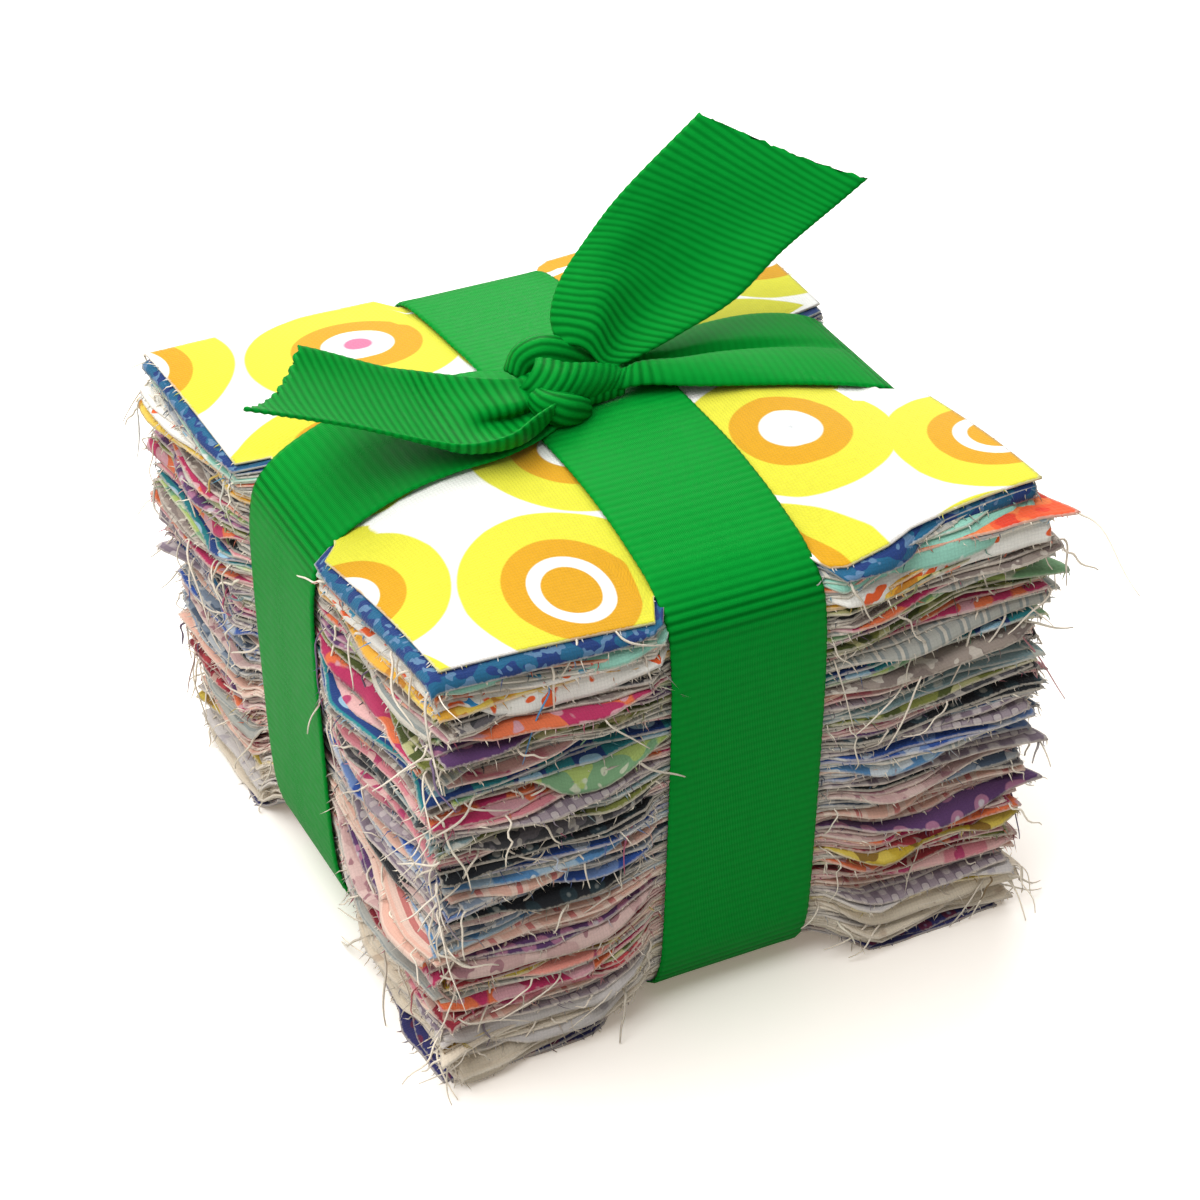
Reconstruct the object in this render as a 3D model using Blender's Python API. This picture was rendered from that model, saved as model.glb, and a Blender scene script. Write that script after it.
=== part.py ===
"""Charm pack: a squared stack of raw-edged cotton squares tied both ways with a grosgrain ribbon.

The stack is built from sheets that lie on one another. Each one is a closed solid with its own
outline, and they all follow the same two surfaces: the underside, which the ribbon lifts along a
cross, and the domed top, which the ribbon pulls down at the middle of each edge, so that the
corners fan out. The ribbon is one solid: two bands, a knot and two free ends.

Lengths below are millimetres. X runs along the front face, Y goes to the back and Z is up.
"""

import math
import random
from collections import namedtuple

import bmesh
import bpy
from mathutils import Vector

MM = 0.001
SEED = 27

# The squares, 2 1/2 inches to a side.
SQUARE_SIDE = 63.5
SQUARE_COUNT = 31
SHEET_THICKNESS = 1.0
GRID_CELLS = 8
HALF_SIDE = SQUARE_SIDE / 2
SHIFT_MOST = 0.7
DRIFT_MOST = 0.8
DRIFT_SWINGS = 2.6
DRIFT_PHASE_X = 0.4
DRIFT_PHASE_Y = 2.1
TURN_MOST_DEG = 1.3
RIM_WAVE = 0.35
RIM_CLEARANCE = 0.15

# The ribbon, 5/8 inch wide.
RIBBON_WIDTH = 16.0
RIBBON_THICKNESS = 1.0
HALF_RIBBON = RIBBON_WIDTH / 2
CLEARANCE = 0.35
BAND_A_CENTRE = 0.5
BAND_B_CENTRE = 1.2
STEPS_PER_ROW = 2
# Side of the drawn outline that the thickness lies on. The two bands' outlines run opposite ways
# round the stack, so that inward has opposite signs.
BAND_A_INWARD = 1.0
BAND_B_INWARD = -1.0
BOTH_SIDES = 0.0
BAND_A_COLUMNS = 2
BAND_B_COLUMNS = 4
TAIL_COLUMNS = 6

# Grid lines of every sheet, as distances from a band's centre line: just past the band's border,
# where the cloth comes down beside it, and the loose corner.
BORDER = HALF_RIBBON + 1.2
SHOULDER = HALF_RIBBON + 7.0
QUARTER = 23.0
BAND_LINES = range(3, GRID_CELLS - 2)
SHOULDER_LINES = (2, GRID_CELLS - 2)
RIM_LINES = (0, GRID_CELLS)
# Past this place a band turns down to the stack's side.
TURN_PLACE = HALF_SIDE - 3.2
RIM_ROUNDS = 5

# Heights of the cloth's top at the four corners, and of its underside beside the bands.
CORNER_TOP = {(-1, -1): 47.9, (-1, 1): 47.8, (1, -1): 50.4, (1, 1): 48.6}
RIM_LIFT_BY_BAND = 1.4

# A row of a band: its place along the band, its outer face's height, the reach of its two
# edges across, and how far its middle is folded down.
Row = namedtuple("Row", "along height near far dip")
# A row of a free end: its far edge, its fold and its near edge.
Section = namedtuple("Section", "far fold near")
# A rolled turn of the knot: the points of its middle line and its two radii.
Roll = namedtuple("Roll", "points across_radius up_radius")

# Half of each band's outline, from the middle of the underside round to the middle of the top.
# Columns: distance from the middle, height.
BAND_A_FRONT = (
    (10.0, 0.0), (20.0, 0.0), (26.0, 0.6), (29.3, 2.2), (31.0, 5.5), (31.6, 10.5), (32.1, 24.0),
    (32.3, 36.0), (31.9, 42.4), (30.8, 45.6), (27.6, 47.9), (23.8, 49.1), (18.0, 50.3), (10.0, 51.0),
)
BAND_A_BACK = (
    (10.0, 51.0), (16.0, 50.6), (23.0, 50.0), (28.6, 49.0), (31.4, 46.8), (32.3, 43.0), (32.3, 36.0),
    (32.1, 24.0), (31.6, 10.5), (31.0, 5.5), (29.3, 2.2), (26.0, 0.6), (20.0, 0.0), (10.0, 0.0),
)
BAND_B_LIFT = 0.15
BAND_MIDDLE_HEIGHT = 24.0
BAND_B_UNDER = ((0.0, 0.0), (20.0, 0.0), (25.8, 0.8), (29.0, 3.2), (30.9, 6.6), (31.7, 12.0), (32.2, 24.0))
BAND_B_LEFT_TOP = (
    (32.5, 36.0), (32.3, 41.8), (31.3, 45.2), (28.3, 47.9), (23.0, 50.2), (18.0, 51.2), (12.0, 51.8),
    (7.0, 52.3), (3.0, 52.6),
)
# The band's right-hand part is gathered into the knot. Rows from the knot to the right-hand edge.
BAND_B_RIGHT_TOP = (
    Row(1.0, 53.4, -1.4, 3.2, 0.0),
    Row(5.5, 52.6, -2.2, 4.2, 0.4),
    Row(10.0, 51.9, -3.6, 5.6, 0.7),
    Row(15.0, 51.4, -4.9, 7.3, 0.8),
    Row(21.0, 50.7, -6.1, 8.5, 0.7),
    Row(26.5, 49.4, -6.7, 9.1, 0.4),
    Row(30.4, 47.6, -6.8, 9.2, 0.1),
    Row(32.0, 44.4, -6.8, 9.2, 0.0),
    Row(32.4, 38.0, -6.8, 9.2, 0.0),
)

LEFT_TAIL = (
    Section((-3.0, 3.0, 53.6), (-3.0, -0.4, 52.8), (-3.0, -2.6, 53.8)),
    Section((-7.0, 4.6, 54.6), (-7.4, -0.6, 52.7), (-7.0, -4.4, 53.9)),
    Section((-12.6, 6.6, 55.0), (-13.4, 0.0, 53.2), (-13.6, -6.0, 54.0)),
    Section((-18.6, 8.2, 55.9), (-20.4, 1.4, 54.0), (-23.4, -6.2, 56.2)),
    Section((-26.0, 9.5, 58.1), (-29.8, 3.0, 57.2), (-36.6, -5.0, 61.0)),
)
RIGHT_TAIL = (
    Section((-1.6, 3.6, 54.0), (-0.2, 1.6, 53.2), (2.0, 0.2, 53.2)),
    Section((-1.4, 6.0, 57.0), (1.6, 3.0, 54.6), (5.4, 0.4, 54.2)),
    Section((0.6, 8.2, 59.4), (5.6, 6.0, 56.8), (10.6, 1.3, 54.9)),
    Section((4.2, 10.0, 62.2), (10.6, 8.0, 59.6), (17.4, 3.0, 56.2)),
    Section((9.6, 12.4, 65.4), (16.4, 9.6, 62.8), (23.4, 4.5, 59.4)),
    Section((19.7, 16.0, 70.0), (25.8, 12.4, 67.8), (34.0, 6.5, 64.1)),
)
KNOT_CORE = Roll(((-6.6, 1.2, 52.4), (-2.8, 0.8, 52.9), (3.0, 0.8, 52.7)), 4.0, 2.5)
KNOT_TURNS = (
    Roll(((6.2, 0.0, 52.7), (1.6, -1.0, 54.2), (-3.6, -0.8, 55.2), (-8.0, 0.8, 53.6)), 2.7, 1.9),
    Roll(((2.4, 3.6, 53.6), (-1.6, 4.0, 55.4), (-5.4, 3.8, 54.8), (-8.4, 3.2, 52.8)), 2.2, 2.0),
    Roll(((1.6, -3.0, 52.4), (-2.4, -3.7, 53.0), (-5.6, -3.4, 53.4), (-8.2, -1.8, 53.8)), 1.9, 1.7),
)
ROLL_SIDES = 12
ROLL_RINGS = 8
ROLL_FULLNESS = 0.55
MERGE_DISTANCE = 0.001
LEAST_RUN = 1e-6

RIBBON_COLOUR = (0.0, 0.30, 0.055)
# The squares' colours from the bottom to the top, linear red, green and blue.
SQUARE_COLOURS = (
    (0.72, 0.64, 0.52), (0.62, 0.56, 0.47), (0.10, 0.07, 0.10), (0.45, 0.33, 0.30), (0.08, 0.10, 0.22),
    (0.55, 0.30, 0.22), (0.20, 0.28, 0.42), (0.42, 0.12, 0.16), (0.36, 0.33, 0.30), (0.12, 0.16, 0.32),
    (0.52, 0.47, 0.40), (0.30, 0.34, 0.14), (0.46, 0.22, 0.26), (0.05, 0.07, 0.14), (0.60, 0.36, 0.38),
    (0.12, 0.24, 0.34), (0.50, 0.06, 0.16), (0.40, 0.46, 0.42), (0.07, 0.16, 0.36), (0.55, 0.50, 0.42),
    (0.34, 0.28, 0.26), (0.58, 0.20, 0.24), (0.36, 0.44, 0.20), (0.45, 0.38, 0.36), (0.60, 0.48, 0.20),
    (0.66, 0.62, 0.55), (0.62, 0.16, 0.08), (0.60, 0.66, 0.62), (0.28, 0.52, 0.44), (0.03, 0.10, 0.22),
    (0.90, 0.72, 0.18),
)


def clear_scene():
    """Removes every object that the file starts with."""
    for thing in list(bpy.data.objects):
        bpy.data.objects.remove(thing, do_unlink=True)


def make_material(name, colour, roughness):
    """Returns a plain cloth material."""
    material = bpy.data.materials.new(name)
    material.use_nodes = True
    shader = material.node_tree.nodes["Principled BSDF"]
    shader.inputs["Base Color"].default_value = (*colour, 1.0)
    shader.inputs["Roughness"].default_value = roughness
    shader.inputs["Metallic"].default_value = 0.0
    return material


def add_object(name, mesh_data, material=None):
    """Puts a finished bmesh, still in millimetres, into the scene as one object in metres."""
    bmesh.ops.scale(mesh_data, vec=(MM, MM, MM), verts=mesh_data.verts)
    mesh = bpy.data.meshes.new(name)
    mesh_data.to_mesh(mesh)
    mesh_data.free()
    thing = bpy.data.objects.new(name, mesh)
    bpy.context.scene.collection.objects.link(thing)
    if material is not None:
        mesh.materials.append(material)
    return thing


def smooth_between(points, steps):
    """Returns the points of a Catmull-Rom curve through the given ones, with steps to a span."""
    result = []
    last = len(points) - 1
    for index in range(last):
        before = points[max(index - 1, 0)]
        start = points[index]
        end = points[index + 1]
        after = points[min(index + 2, last)]
        for step in range(steps):
            t = step / steps
            result.append(tuple(
                0.5 * (2 * b + (c - a) * t + (2 * a - 5 * b + 4 * c - d) * t ** 2
                       + (3 * b - a - 3 * c + d) * t ** 3)
                for a, b, c, d in zip(before, start, end, after)
            ))
    result.append(tuple(points[last]))
    return result


def band_a_rows():
    """Returns the closed outline of the band that crosses the front and the back face."""
    near = BAND_A_CENTRE - HALF_RIBBON
    far = BAND_A_CENTRE + HALF_RIBBON
    front = [Row(-along, height, near, far, 0.0) for along, height in BAND_A_FRONT]
    back = [Row(along, height, near, far, 0.0) for along, height in BAND_A_BACK]
    return front + back


def band_b_rows():
    """Returns the open outline of the other band, from the knot round the stack to the knot."""
    near = BAND_B_CENTRE - HALF_RIBBON
    far = BAND_B_CENTRE + HALF_RIBBON
    under = [(along, height + BAND_B_LIFT) for along, height in BAND_B_UNDER]
    under_right = [Row(along, height, near, far, 0.0) for along, height in reversed(under)]
    under_left = [Row(-along, height, near, far, 0.0) for along, height in under[1:]]
    left_top = [Row(-along, height, near, far, 0.0) for along, height in BAND_B_LEFT_TOP]
    return list(BAND_B_RIGHT_TOP) + under_right + under_left + left_top


def inner_outline(rows, inset):
    """Returns the outline's points moved inward by inset, as (along, height) pairs."""
    points = [Vector((row.along, row.height - row.dip)) for row in rows]
    middle = Vector((0.0, BAND_MIDDLE_HEIGHT))
    result = []
    for index, point in enumerate(points):
        before = points[max(index - 1, 0)]
        after = points[min(index + 1, len(points) - 1)]
        run = (after - before).normalized()
        inward = Vector((-run.y, run.x))
        if inward.dot(middle - point) < 0:
            inward = -inward
        result.append(point + inward * inset)
    return result


def height_at(outline, along, upper):
    """Returns the outline's height at a place along it, on its upper or its lower run."""
    found = []
    for start, end in zip(outline, outline[1:] + outline[:1]):
        low, high = min(start.x, end.x), max(start.x, end.x)
        if low <= along <= high and high - low > LEAST_RUN:
            share = (along - start.x) / (end.x - start.x)
            found.append(start.y + share * (end.y - start.y))
    return max(found) if upper else min(found)


def reach_at(outline, height, side):
    """Returns how far the outline reaches on one side at a height."""
    found = []
    for start, end in zip(outline, outline[1:] + outline[:1]):
        low, high = min(start.y, end.y), max(start.y, end.y)
        if low <= height <= high and high - low > LEAST_RUN:
            share = (height - start.y) / (end.y - start.y)
            found.append(side * (start.x + share * (end.x - start.x)))
    return side * max(found)


class Stack:
    """The two surfaces that the squares lie between, and the squares' outlines."""

    def __init__(self):
        inset = RIBBON_THICKNESS + CLEARANCE
        self.inner_a = inner_outline(band_a_rows(), inset)
        self.inner_b = inner_outline(band_b_rows(), inset)
        self.lines_x = self.grid_lines(BAND_A_CENTRE)
        self.lines_y = self.grid_lines(BAND_B_CENTRE)
        self.under = self.fill_table(self.under_height)
        self.top = self.fill_table(self.top_height)

    @staticmethod
    def grid_lines(centre):
        """Returns the grid's lines across one direction, closer together beside the band."""
        beside_band = [centre + reach for reach in (-SHOULDER, -BORDER, 0.0, BORDER, SHOULDER)]
        return [-HALF_SIDE, -QUARTER] + beside_band + [QUARTER, HALF_SIDE]

    def fill_table(self, rule):
        """Returns a rule's heights at every crossing of the grid."""
        count = range(GRID_CELLS + 1)
        return [[rule(column, row) for row in count] for column in count]

    @staticmethod
    def band_height(outline, place, upper):
        """Returns the height inside a band, straight on past the turn to the side face."""
        if abs(place) <= TURN_PLACE:
            return height_at(outline, place, upper)
        side = math.copysign(1, place)
        at_quarter = height_at(outline, side * QUARTER, upper)
        at_turn = height_at(outline, side * TURN_PLACE, upper)
        return at_quarter + (at_turn - at_quarter) * (abs(place) - QUARTER) / (TURN_PLACE - QUARTER)

    def under_height(self, column, row):
        """Returns the height of the stack's underside at a grid crossing."""
        heights = []
        if column in BAND_LINES:
            heights.append(self.band_height(self.inner_a, self.lines_y[row], False))
        if row in BAND_LINES:
            heights.append(self.band_height(self.inner_b, self.lines_x[column], False))
        if heights:
            return max(heights)
        beside_a = column in SHOULDER_LINES and row in RIM_LINES
        beside_b = row in SHOULDER_LINES and column in RIM_LINES
        return RIM_LIFT_BY_BAND if beside_a or beside_b else 0.0

    def top_height(self, column, row):
        """Returns the height of the stack's top at a grid crossing, as a patch between the bands."""
        x, y = self.lines_x[column], self.lines_y[row]
        height_a = self.band_height(self.inner_a, y, True)
        height_b = self.band_height(self.inner_b, x, True)
        centre = self.band_height(self.inner_a, BAND_B_CENTRE, True)
        if column in BAND_LINES:
            return height_a
        if row in BAND_LINES:
            return height_b
        side_x, side_y = int(math.copysign(1, x)), int(math.copysign(1, y))
        corner = CORNER_TOP[(side_x, side_y)]
        rim_a = self.band_height(self.inner_a, side_y * HALF_SIDE, True)
        rim_b = self.band_height(self.inner_b, side_x * HALF_SIDE, True)
        share_x = (abs(x - BAND_A_CENTRE) - BORDER) / (HALF_SIDE - BORDER)
        share_y = (abs(y - BAND_B_CENTRE) - BORDER) / (HALF_SIDE - BORDER)
        share_x, share_y = min(share_x, 1.0), min(share_y, 1.0)
        ease_x, ease_y = math.sin(share_x * math.pi / 2), math.sin(share_y * math.pi / 2)
        outer_x = rim_b + (corner - rim_b) * ease_y
        outer_y = rim_a + (corner - rim_a) * ease_x
        corners = (
            (1 - share_x) * (1 - share_y) * centre + share_x * (1 - share_y) * rim_b
            + (1 - share_x) * share_y * rim_a + share_x * share_y * corner
        )
        return (
            (1 - share_x) * height_a + share_x * outer_x + (1 - share_y) * height_b + share_y * outer_y
            - corners
        )

    def surface_height(self, table, x, y):
        """Returns a table's height at any place, straight between the grid's lines and past them."""
        column = max(index for index in range(GRID_CELLS) if index == 0 or self.lines_x[index] <= x)
        row = max(index for index in range(GRID_CELLS) if index == 0 or self.lines_y[index] <= y)
        u = (x - self.lines_x[column]) / (self.lines_x[column + 1] - self.lines_x[column])
        v = (y - self.lines_y[row]) / (self.lines_y[row + 1] - self.lines_y[row])
        front = table[column][row] * (1 - u) + table[column + 1][row] * u
        back = table[column][row + 1] * (1 - u) + table[column + 1][row + 1] * u
        return front * (1 - v) + back * v

    def sheet_height(self, index, x, y):
        """Returns the height of one sheet's lower face."""
        under = self.surface_height(self.under, x, y)
        top = self.surface_height(self.top, x, y)
        share = index / (SQUARE_COUNT - 1)
        return under + share * (top - SHEET_THICKNESS - under)


def drift(share, phase):
    """Returns the slow sideways drift of the stack at a share of its height."""
    return DRIFT_MOST * math.sin(math.tau * DRIFT_SWINGS * share + phase)


def sheet_place(stack, index, column, row, shift, turn, chance):
    """Returns one grid point of a sheet. Only its rim moves, so that sheets never cross."""
    x, y = stack.lines_x[column], stack.lines_y[row]
    on_x_rim = column in RIM_LINES
    on_y_rim = row in RIM_LINES
    if on_x_rim or on_y_rim:
        turned_x = x * math.cos(turn) - y * math.sin(turn)
        turned_y = x * math.sin(turn) + y * math.cos(turn)
        if on_x_rim and row not in BAND_LINES:
            x = turned_x + shift[0] + chance.uniform(-RIM_WAVE, RIM_WAVE)
        if on_y_rim and column not in BAND_LINES:
            y = turned_y + shift[1] + chance.uniform(-RIM_WAVE, RIM_WAVE)
    for _ in range(RIM_ROUNDS):
        height = stack.sheet_height(index, x, y)
        if on_x_rim and row in BAND_LINES:
            x = band_reach(stack.inner_b, height, math.copysign(1, x))
        if on_y_rim and column in BAND_LINES:
            y = band_reach(stack.inner_a, height, math.copysign(1, y))
    return Vector((x, y, stack.sheet_height(index, x, y)))


def band_reach(outline, height, side):
    """Returns where a sheet's edge stops inside a band, clear of it at both of its faces."""
    lower = reach_at(outline, height, side)
    upper = reach_at(outline, height + SHEET_THICKNESS, side)
    return side * (min(side * lower, side * upper) - RIM_CLEARANCE)


def build_square(stack, index, chance, material):
    """Builds one square: a split grid set on the stack's surfaces and raised to its thickness."""
    share = index / (SQUARE_COUNT - 1)
    shift = (
        drift(share, DRIFT_PHASE_X) + chance.uniform(-SHIFT_MOST, SHIFT_MOST),
        drift(share, DRIFT_PHASE_Y) + chance.uniform(-SHIFT_MOST, SHIFT_MOST),
    )
    turn = math.radians(chance.uniform(-TURN_MOST_DEG, TURN_MOST_DEG))
    body = bmesh.new()
    bmesh.ops.create_grid(body, x_segments=GRID_CELLS, y_segments=GRID_CELLS, size=0.5)
    bmesh.ops.triangulate(body, faces=body.faces[:], quad_method="FIXED")
    for vertex in body.verts:
        column = round((vertex.co.x + 0.5) * GRID_CELLS)
        row = round((vertex.co.y + 0.5) * GRID_CELLS)
        vertex.co = sheet_place(stack, index, column, row, shift, turn, chance)
    raised = bmesh.ops.extrude_face_region(body, geom=body.faces[:])["geom"]
    raised_points = [item for item in raised if isinstance(item, bmesh.types.BMVert)]
    bmesh.ops.translate(body, vec=(0.0, 0.0, SHEET_THICKNESS), verts=raised_points)
    bmesh.ops.recalc_face_normals(body, faces=body.faces[:])
    return add_object(f"square_{index + 1:02d}", body, material)


def build_strip(name, rows_of_points, closed, offset, material):
    """Builds a length of ribbon through rows of points and gives it its thickness."""
    along = len(rows_of_points) - 1
    across = len(rows_of_points[0]) - 1
    body = bmesh.new()
    bmesh.ops.create_grid(body, x_segments=along, y_segments=across, size=0.5)
    for vertex in body.verts:
        step = round((vertex.co.x + 0.5) * along)
        column = round((vertex.co.y + 0.5) * across)
        vertex.co = rows_of_points[step][column]
    if closed:
        bmesh.ops.remove_doubles(body, verts=body.verts[:], dist=MERGE_DISTANCE)
    strip = add_object(name, body, material)
    thickness = strip.modifiers.new("Thickness", "SOLIDIFY")
    thickness.thickness = RIBBON_THICKNESS * MM
    thickness.offset = offset
    thickness.use_even_offset = True
    return strip


def band_points(rows, columns, lowest, axis_is_x):
    """Returns the grid points of a band whose rows run along X or along Y, flat at its lowest."""
    points = []
    for along, height, near, far, dip in rows:
        line = []
        for column in range(columns + 1):
            v = column / columns
            across = near + (far - near) * v
            z = max(height - dip * math.sin(math.pi * v), lowest)
            line.append(Vector((along, across, z) if axis_is_x else (across, along, z)))
        points.append(line)
    return points


def tail_points(sections, steps, columns):
    """Returns the grid points of a free end, folded along its middle."""
    far = smooth_between([section.far for section in sections], steps)
    fold = smooth_between([section.fold for section in sections], steps)
    near = smooth_between([section.near for section in sections], steps)
    points = []
    for a, b, c in zip(far, fold, near):
        line = []
        for column in range(columns + 1):
            v = column / columns
            weights = ((1 - v) * (1 - 2 * v), 4 * v * (1 - v), v * (2 * v - 1))
            line.append(Vector(a) * weights[0] + Vector(b) * weights[1] + Vector(c) * weights[2])
        points.append(line)
    return points


def build_roll(name, roll, material):
    """Builds a rolled turn: a sphere stretched and bent along the turn's middle line."""
    line = [Vector(point) for point in smooth_between(roll.points, ROLL_RINGS)]
    body = bmesh.new()
    bmesh.ops.create_uvsphere(body, u_segments=ROLL_SIDES, v_segments=ROLL_RINGS, radius=1.0)
    for vertex in body.verts:
        share = math.acos(max(-1.0, min(1.0, vertex.co.z))) / math.pi
        place = share * (len(line) - 1)
        index = min(int(place), len(line) - 2)
        centre = line[index].lerp(line[index + 1], place - index)
        run = (line[index + 1] - line[index]).normalized()
        side = run.cross(Vector((0.0, 0.0, 1.0))).normalized()
        up = side.cross(run)
        spread = math.hypot(vertex.co.x, vertex.co.y)
        fullness = spread ** ROLL_FULLNESS / spread if spread > LEAST_RUN else 0.0
        across = side * vertex.co.x * fullness * roll.across_radius
        vertex.co = centre + across + up * vertex.co.y * fullness * roll.up_radius
    bmesh.ops.recalc_face_normals(body, faces=body.faces[:])
    return add_object(name, body, material)


def join_to(base, pieces):
    """Joins closed pieces to the base by Boolean unions and hides them."""
    for piece in pieces:
        union = base.modifiers.new(f"Join {piece.name}", "BOOLEAN")
        union.operation = "UNION"
        union.solver = "EXACT"
        union.object = piece
        piece.hide_render = True
        piece.display_type = "WIRE"


def build_ribbon():
    """Builds the ribbon: two bands round the stack, the knot and its two free ends, as one solid."""
    material = make_material("ribbon", RIBBON_COLOUR, 0.5)
    rows_a = [Row(*row) for row in smooth_between(band_a_rows() + band_a_rows()[:1], STEPS_PER_ROW)]
    rows_b = [Row(*row) for row in smooth_between(band_b_rows(), STEPS_PER_ROW)]
    points_a = band_points(rows_a, BAND_A_COLUMNS, 0.0, False)
    points_b = band_points(rows_b, BAND_B_COLUMNS, BAND_B_LIFT, True)
    points_left = tail_points(LEFT_TAIL, STEPS_PER_ROW, TAIL_COLUMNS)
    points_right = tail_points(RIGHT_TAIL, STEPS_PER_ROW, TAIL_COLUMNS)
    ribbon = build_strip("ribbon", points_a, True, BAND_A_INWARD, material)
    pieces = [
        build_strip("band_b", points_b, False, BAND_B_INWARD, material),
        build_strip("left_tail", points_left, False, BOTH_SIDES, material),
        build_strip("right_tail", points_right, False, BOTH_SIDES, material),
        build_roll("knot_core", KNOT_CORE, material),
    ]
    for number, turn in enumerate(KNOT_TURNS):
        pieces.append(build_roll(f"knot_turn_{number + 1}", turn, material))
    join_to(ribbon, pieces)
    return [ribbon] + pieces


def set_on_floor(things):
    """Moves everything so that the origin is at the bottom and centre of the built shape."""
    bpy.context.view_layer.update()
    graph = bpy.context.evaluated_depsgraph_get()
    corners = []
    for thing in things:
        if thing.hide_render:
            continue
        evaluated = thing.evaluated_get(graph)
        corners += [evaluated.matrix_world @ vertex.co for vertex in evaluated.data.vertices]
    low = Vector([min(corner[axis] for corner in corners) for axis in range(3)])
    high = Vector([max(corner[axis] for corner in corners) for axis in range(3)])
    shift = Vector((-(low.x + high.x) / 2, -(low.y + high.y) / 2, -low.z))
    for thing in things:
        thing.location += shift


def main():
    """Builds the stack and its ribbon."""
    clear_scene()
    chance = random.Random(SEED)
    stack = Stack()
    squares = []
    for index in range(SQUARE_COUNT):
        material = make_material(f"cotton_{index + 1:02d}", SQUARE_COLOURS[index], 0.9)
        squares.append(build_square(stack, index, chance, material))
    set_on_floor(squares + build_ribbon())


main()
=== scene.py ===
"""Looks of the charm pack: raw-edged printed cotton squares tied both ways with grosgrain ribbon.

The squares are 124 thin sheets between the same two surfaces as the solid stack, with frayed rims and
stray threads. The ribbon is cut flat with its woven ribs and then laid along its bands, its knot and
its two free ends. Lengths are millimetres in the stack's own frame until a mesh is finished.
"""

import logging
import math
import random
from dataclasses import dataclass, field
from enum import Enum

import bmesh
import bpy
import numpy as np
from mathutils import Matrix, Vector


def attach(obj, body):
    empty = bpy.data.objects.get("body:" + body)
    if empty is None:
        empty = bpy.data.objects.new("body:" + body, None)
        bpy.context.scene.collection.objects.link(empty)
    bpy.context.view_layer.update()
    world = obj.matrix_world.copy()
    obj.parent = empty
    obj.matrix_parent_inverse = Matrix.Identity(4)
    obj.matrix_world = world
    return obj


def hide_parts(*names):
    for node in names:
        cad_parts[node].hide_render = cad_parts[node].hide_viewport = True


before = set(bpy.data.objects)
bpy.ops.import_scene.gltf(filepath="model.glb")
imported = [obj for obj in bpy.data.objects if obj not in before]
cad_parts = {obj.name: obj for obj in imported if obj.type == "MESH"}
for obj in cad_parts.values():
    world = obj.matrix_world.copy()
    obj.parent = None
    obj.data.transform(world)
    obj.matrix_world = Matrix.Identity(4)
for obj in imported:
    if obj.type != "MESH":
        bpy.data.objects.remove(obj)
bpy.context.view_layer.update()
LOG = logging.getLogger("charm_pack")

MM = 0.001
BODY = "root"

SQUARE_SIDE = 63.5
HALF_SIDE = SQUARE_SIDE / 2
RIBBON_WIDTH = 16.0
HALF_RIBBON = RIBBON_WIDTH / 2
BAND_A_CENTRE = 0.5
BAND_B_CENTRE = 1.2
BAND_MIDDLE_HEIGHT = 24.0
RIB_PITCH = 0.9

# Half of each band's outer outline. Columns: distance from the middle, height.
BAND_A_FRONT = (
    (10.0, 0.0), (20.0, 0.0), (26.0, 0.6), (29.3, 2.2), (31.0, 5.5), (31.6, 10.5), (32.1, 24.0),
    (32.3, 36.0), (31.9, 42.4), (30.8, 45.6), (27.6, 47.9), (23.8, 49.1), (18.0, 50.3), (10.0, 51.0),
)
BAND_A_BACK = (
    (10.0, 51.0), (16.0, 50.6), (23.0, 50.0), (28.6, 49.0), (31.4, 46.8), (32.3, 43.0), (32.3, 36.0),
    (32.1, 24.0), (31.6, 10.5), (31.0, 5.5), (29.3, 2.2), (26.0, 0.6), (20.0, 0.0), (10.0, 0.0),
)
BAND_B_LIFT = 0.15
BAND_B_UNDER = (
    (0.0, 0.0), (20.0, 0.0), (25.8, 0.8), (29.0, 3.2), (30.9, 6.6), (31.7, 12.0), (32.2, 24.0),
)
BAND_B_LEFT_TOP = (
    (32.5, 36.0), (32.3, 41.8), (31.3, 45.2), (28.3, 47.9), (23.0, 50.2), (18.0, 51.2), (12.0, 51.5),
    (7.0, 51.5), (3.0, 51.4),
)
# The gathered right-hand part. Columns: distance, height, near edge, far edge, depth of the gather.
BAND_B_RIGHT_TOP = (
    (5.5, 52.8, -2.2, 4.2, 1.0), (10.0, 52.2, -3.6, 5.6, 1.1), (15.0, 51.7, -4.9, 7.3, 1.0),
    (21.0, 50.8, -6.1, 8.5, 0.7), (26.5, 49.4, -6.7, 9.1, 0.3),
    (30.4, 47.6, -6.8, 9.2, 0.0), (32.0, 44.4, -6.8, 9.2, 0.0), (32.4, 38.0, -6.8, 9.2, 0.0),
)
# How far the other band's edges are drawn in under the knot. Columns: distance, near edge, far edge.
BAND_B_LEFT_DRAWN = ((12.0, 0.2, 0.0), (7.0, 1.9, 0.8), (3.0, 4.6, 4.0))
# The wrap over the knot that the gathered part ends in. Columns: the middle of its hollow in x, y
# and height, its radii across and up, and how far its ribs slant.
KNOT_WRAP = (
    (-5.3, 1.5, 54.4, 1.35, 1.3, 5.0),
    (-4.3, 0.9, 54.3, 1.5, 1.4, 5.5),
    (-2.8, -0.4, 53.9, 1.65, 1.6, 6.0),
    (-0.3, -0.7, 53.2, 1.85, 1.8, 6.5),
    (2.4, -0.3, 52.5, 1.7, 1.4, 5.0),
)
# Where the wrap's points lie round its hollow, in degrees from the far side.
WRAP_ANGLES = (235.0, 195.0, 150.0, 110.0, 80.0, 45.0, 5.0, -45.0)
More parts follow.
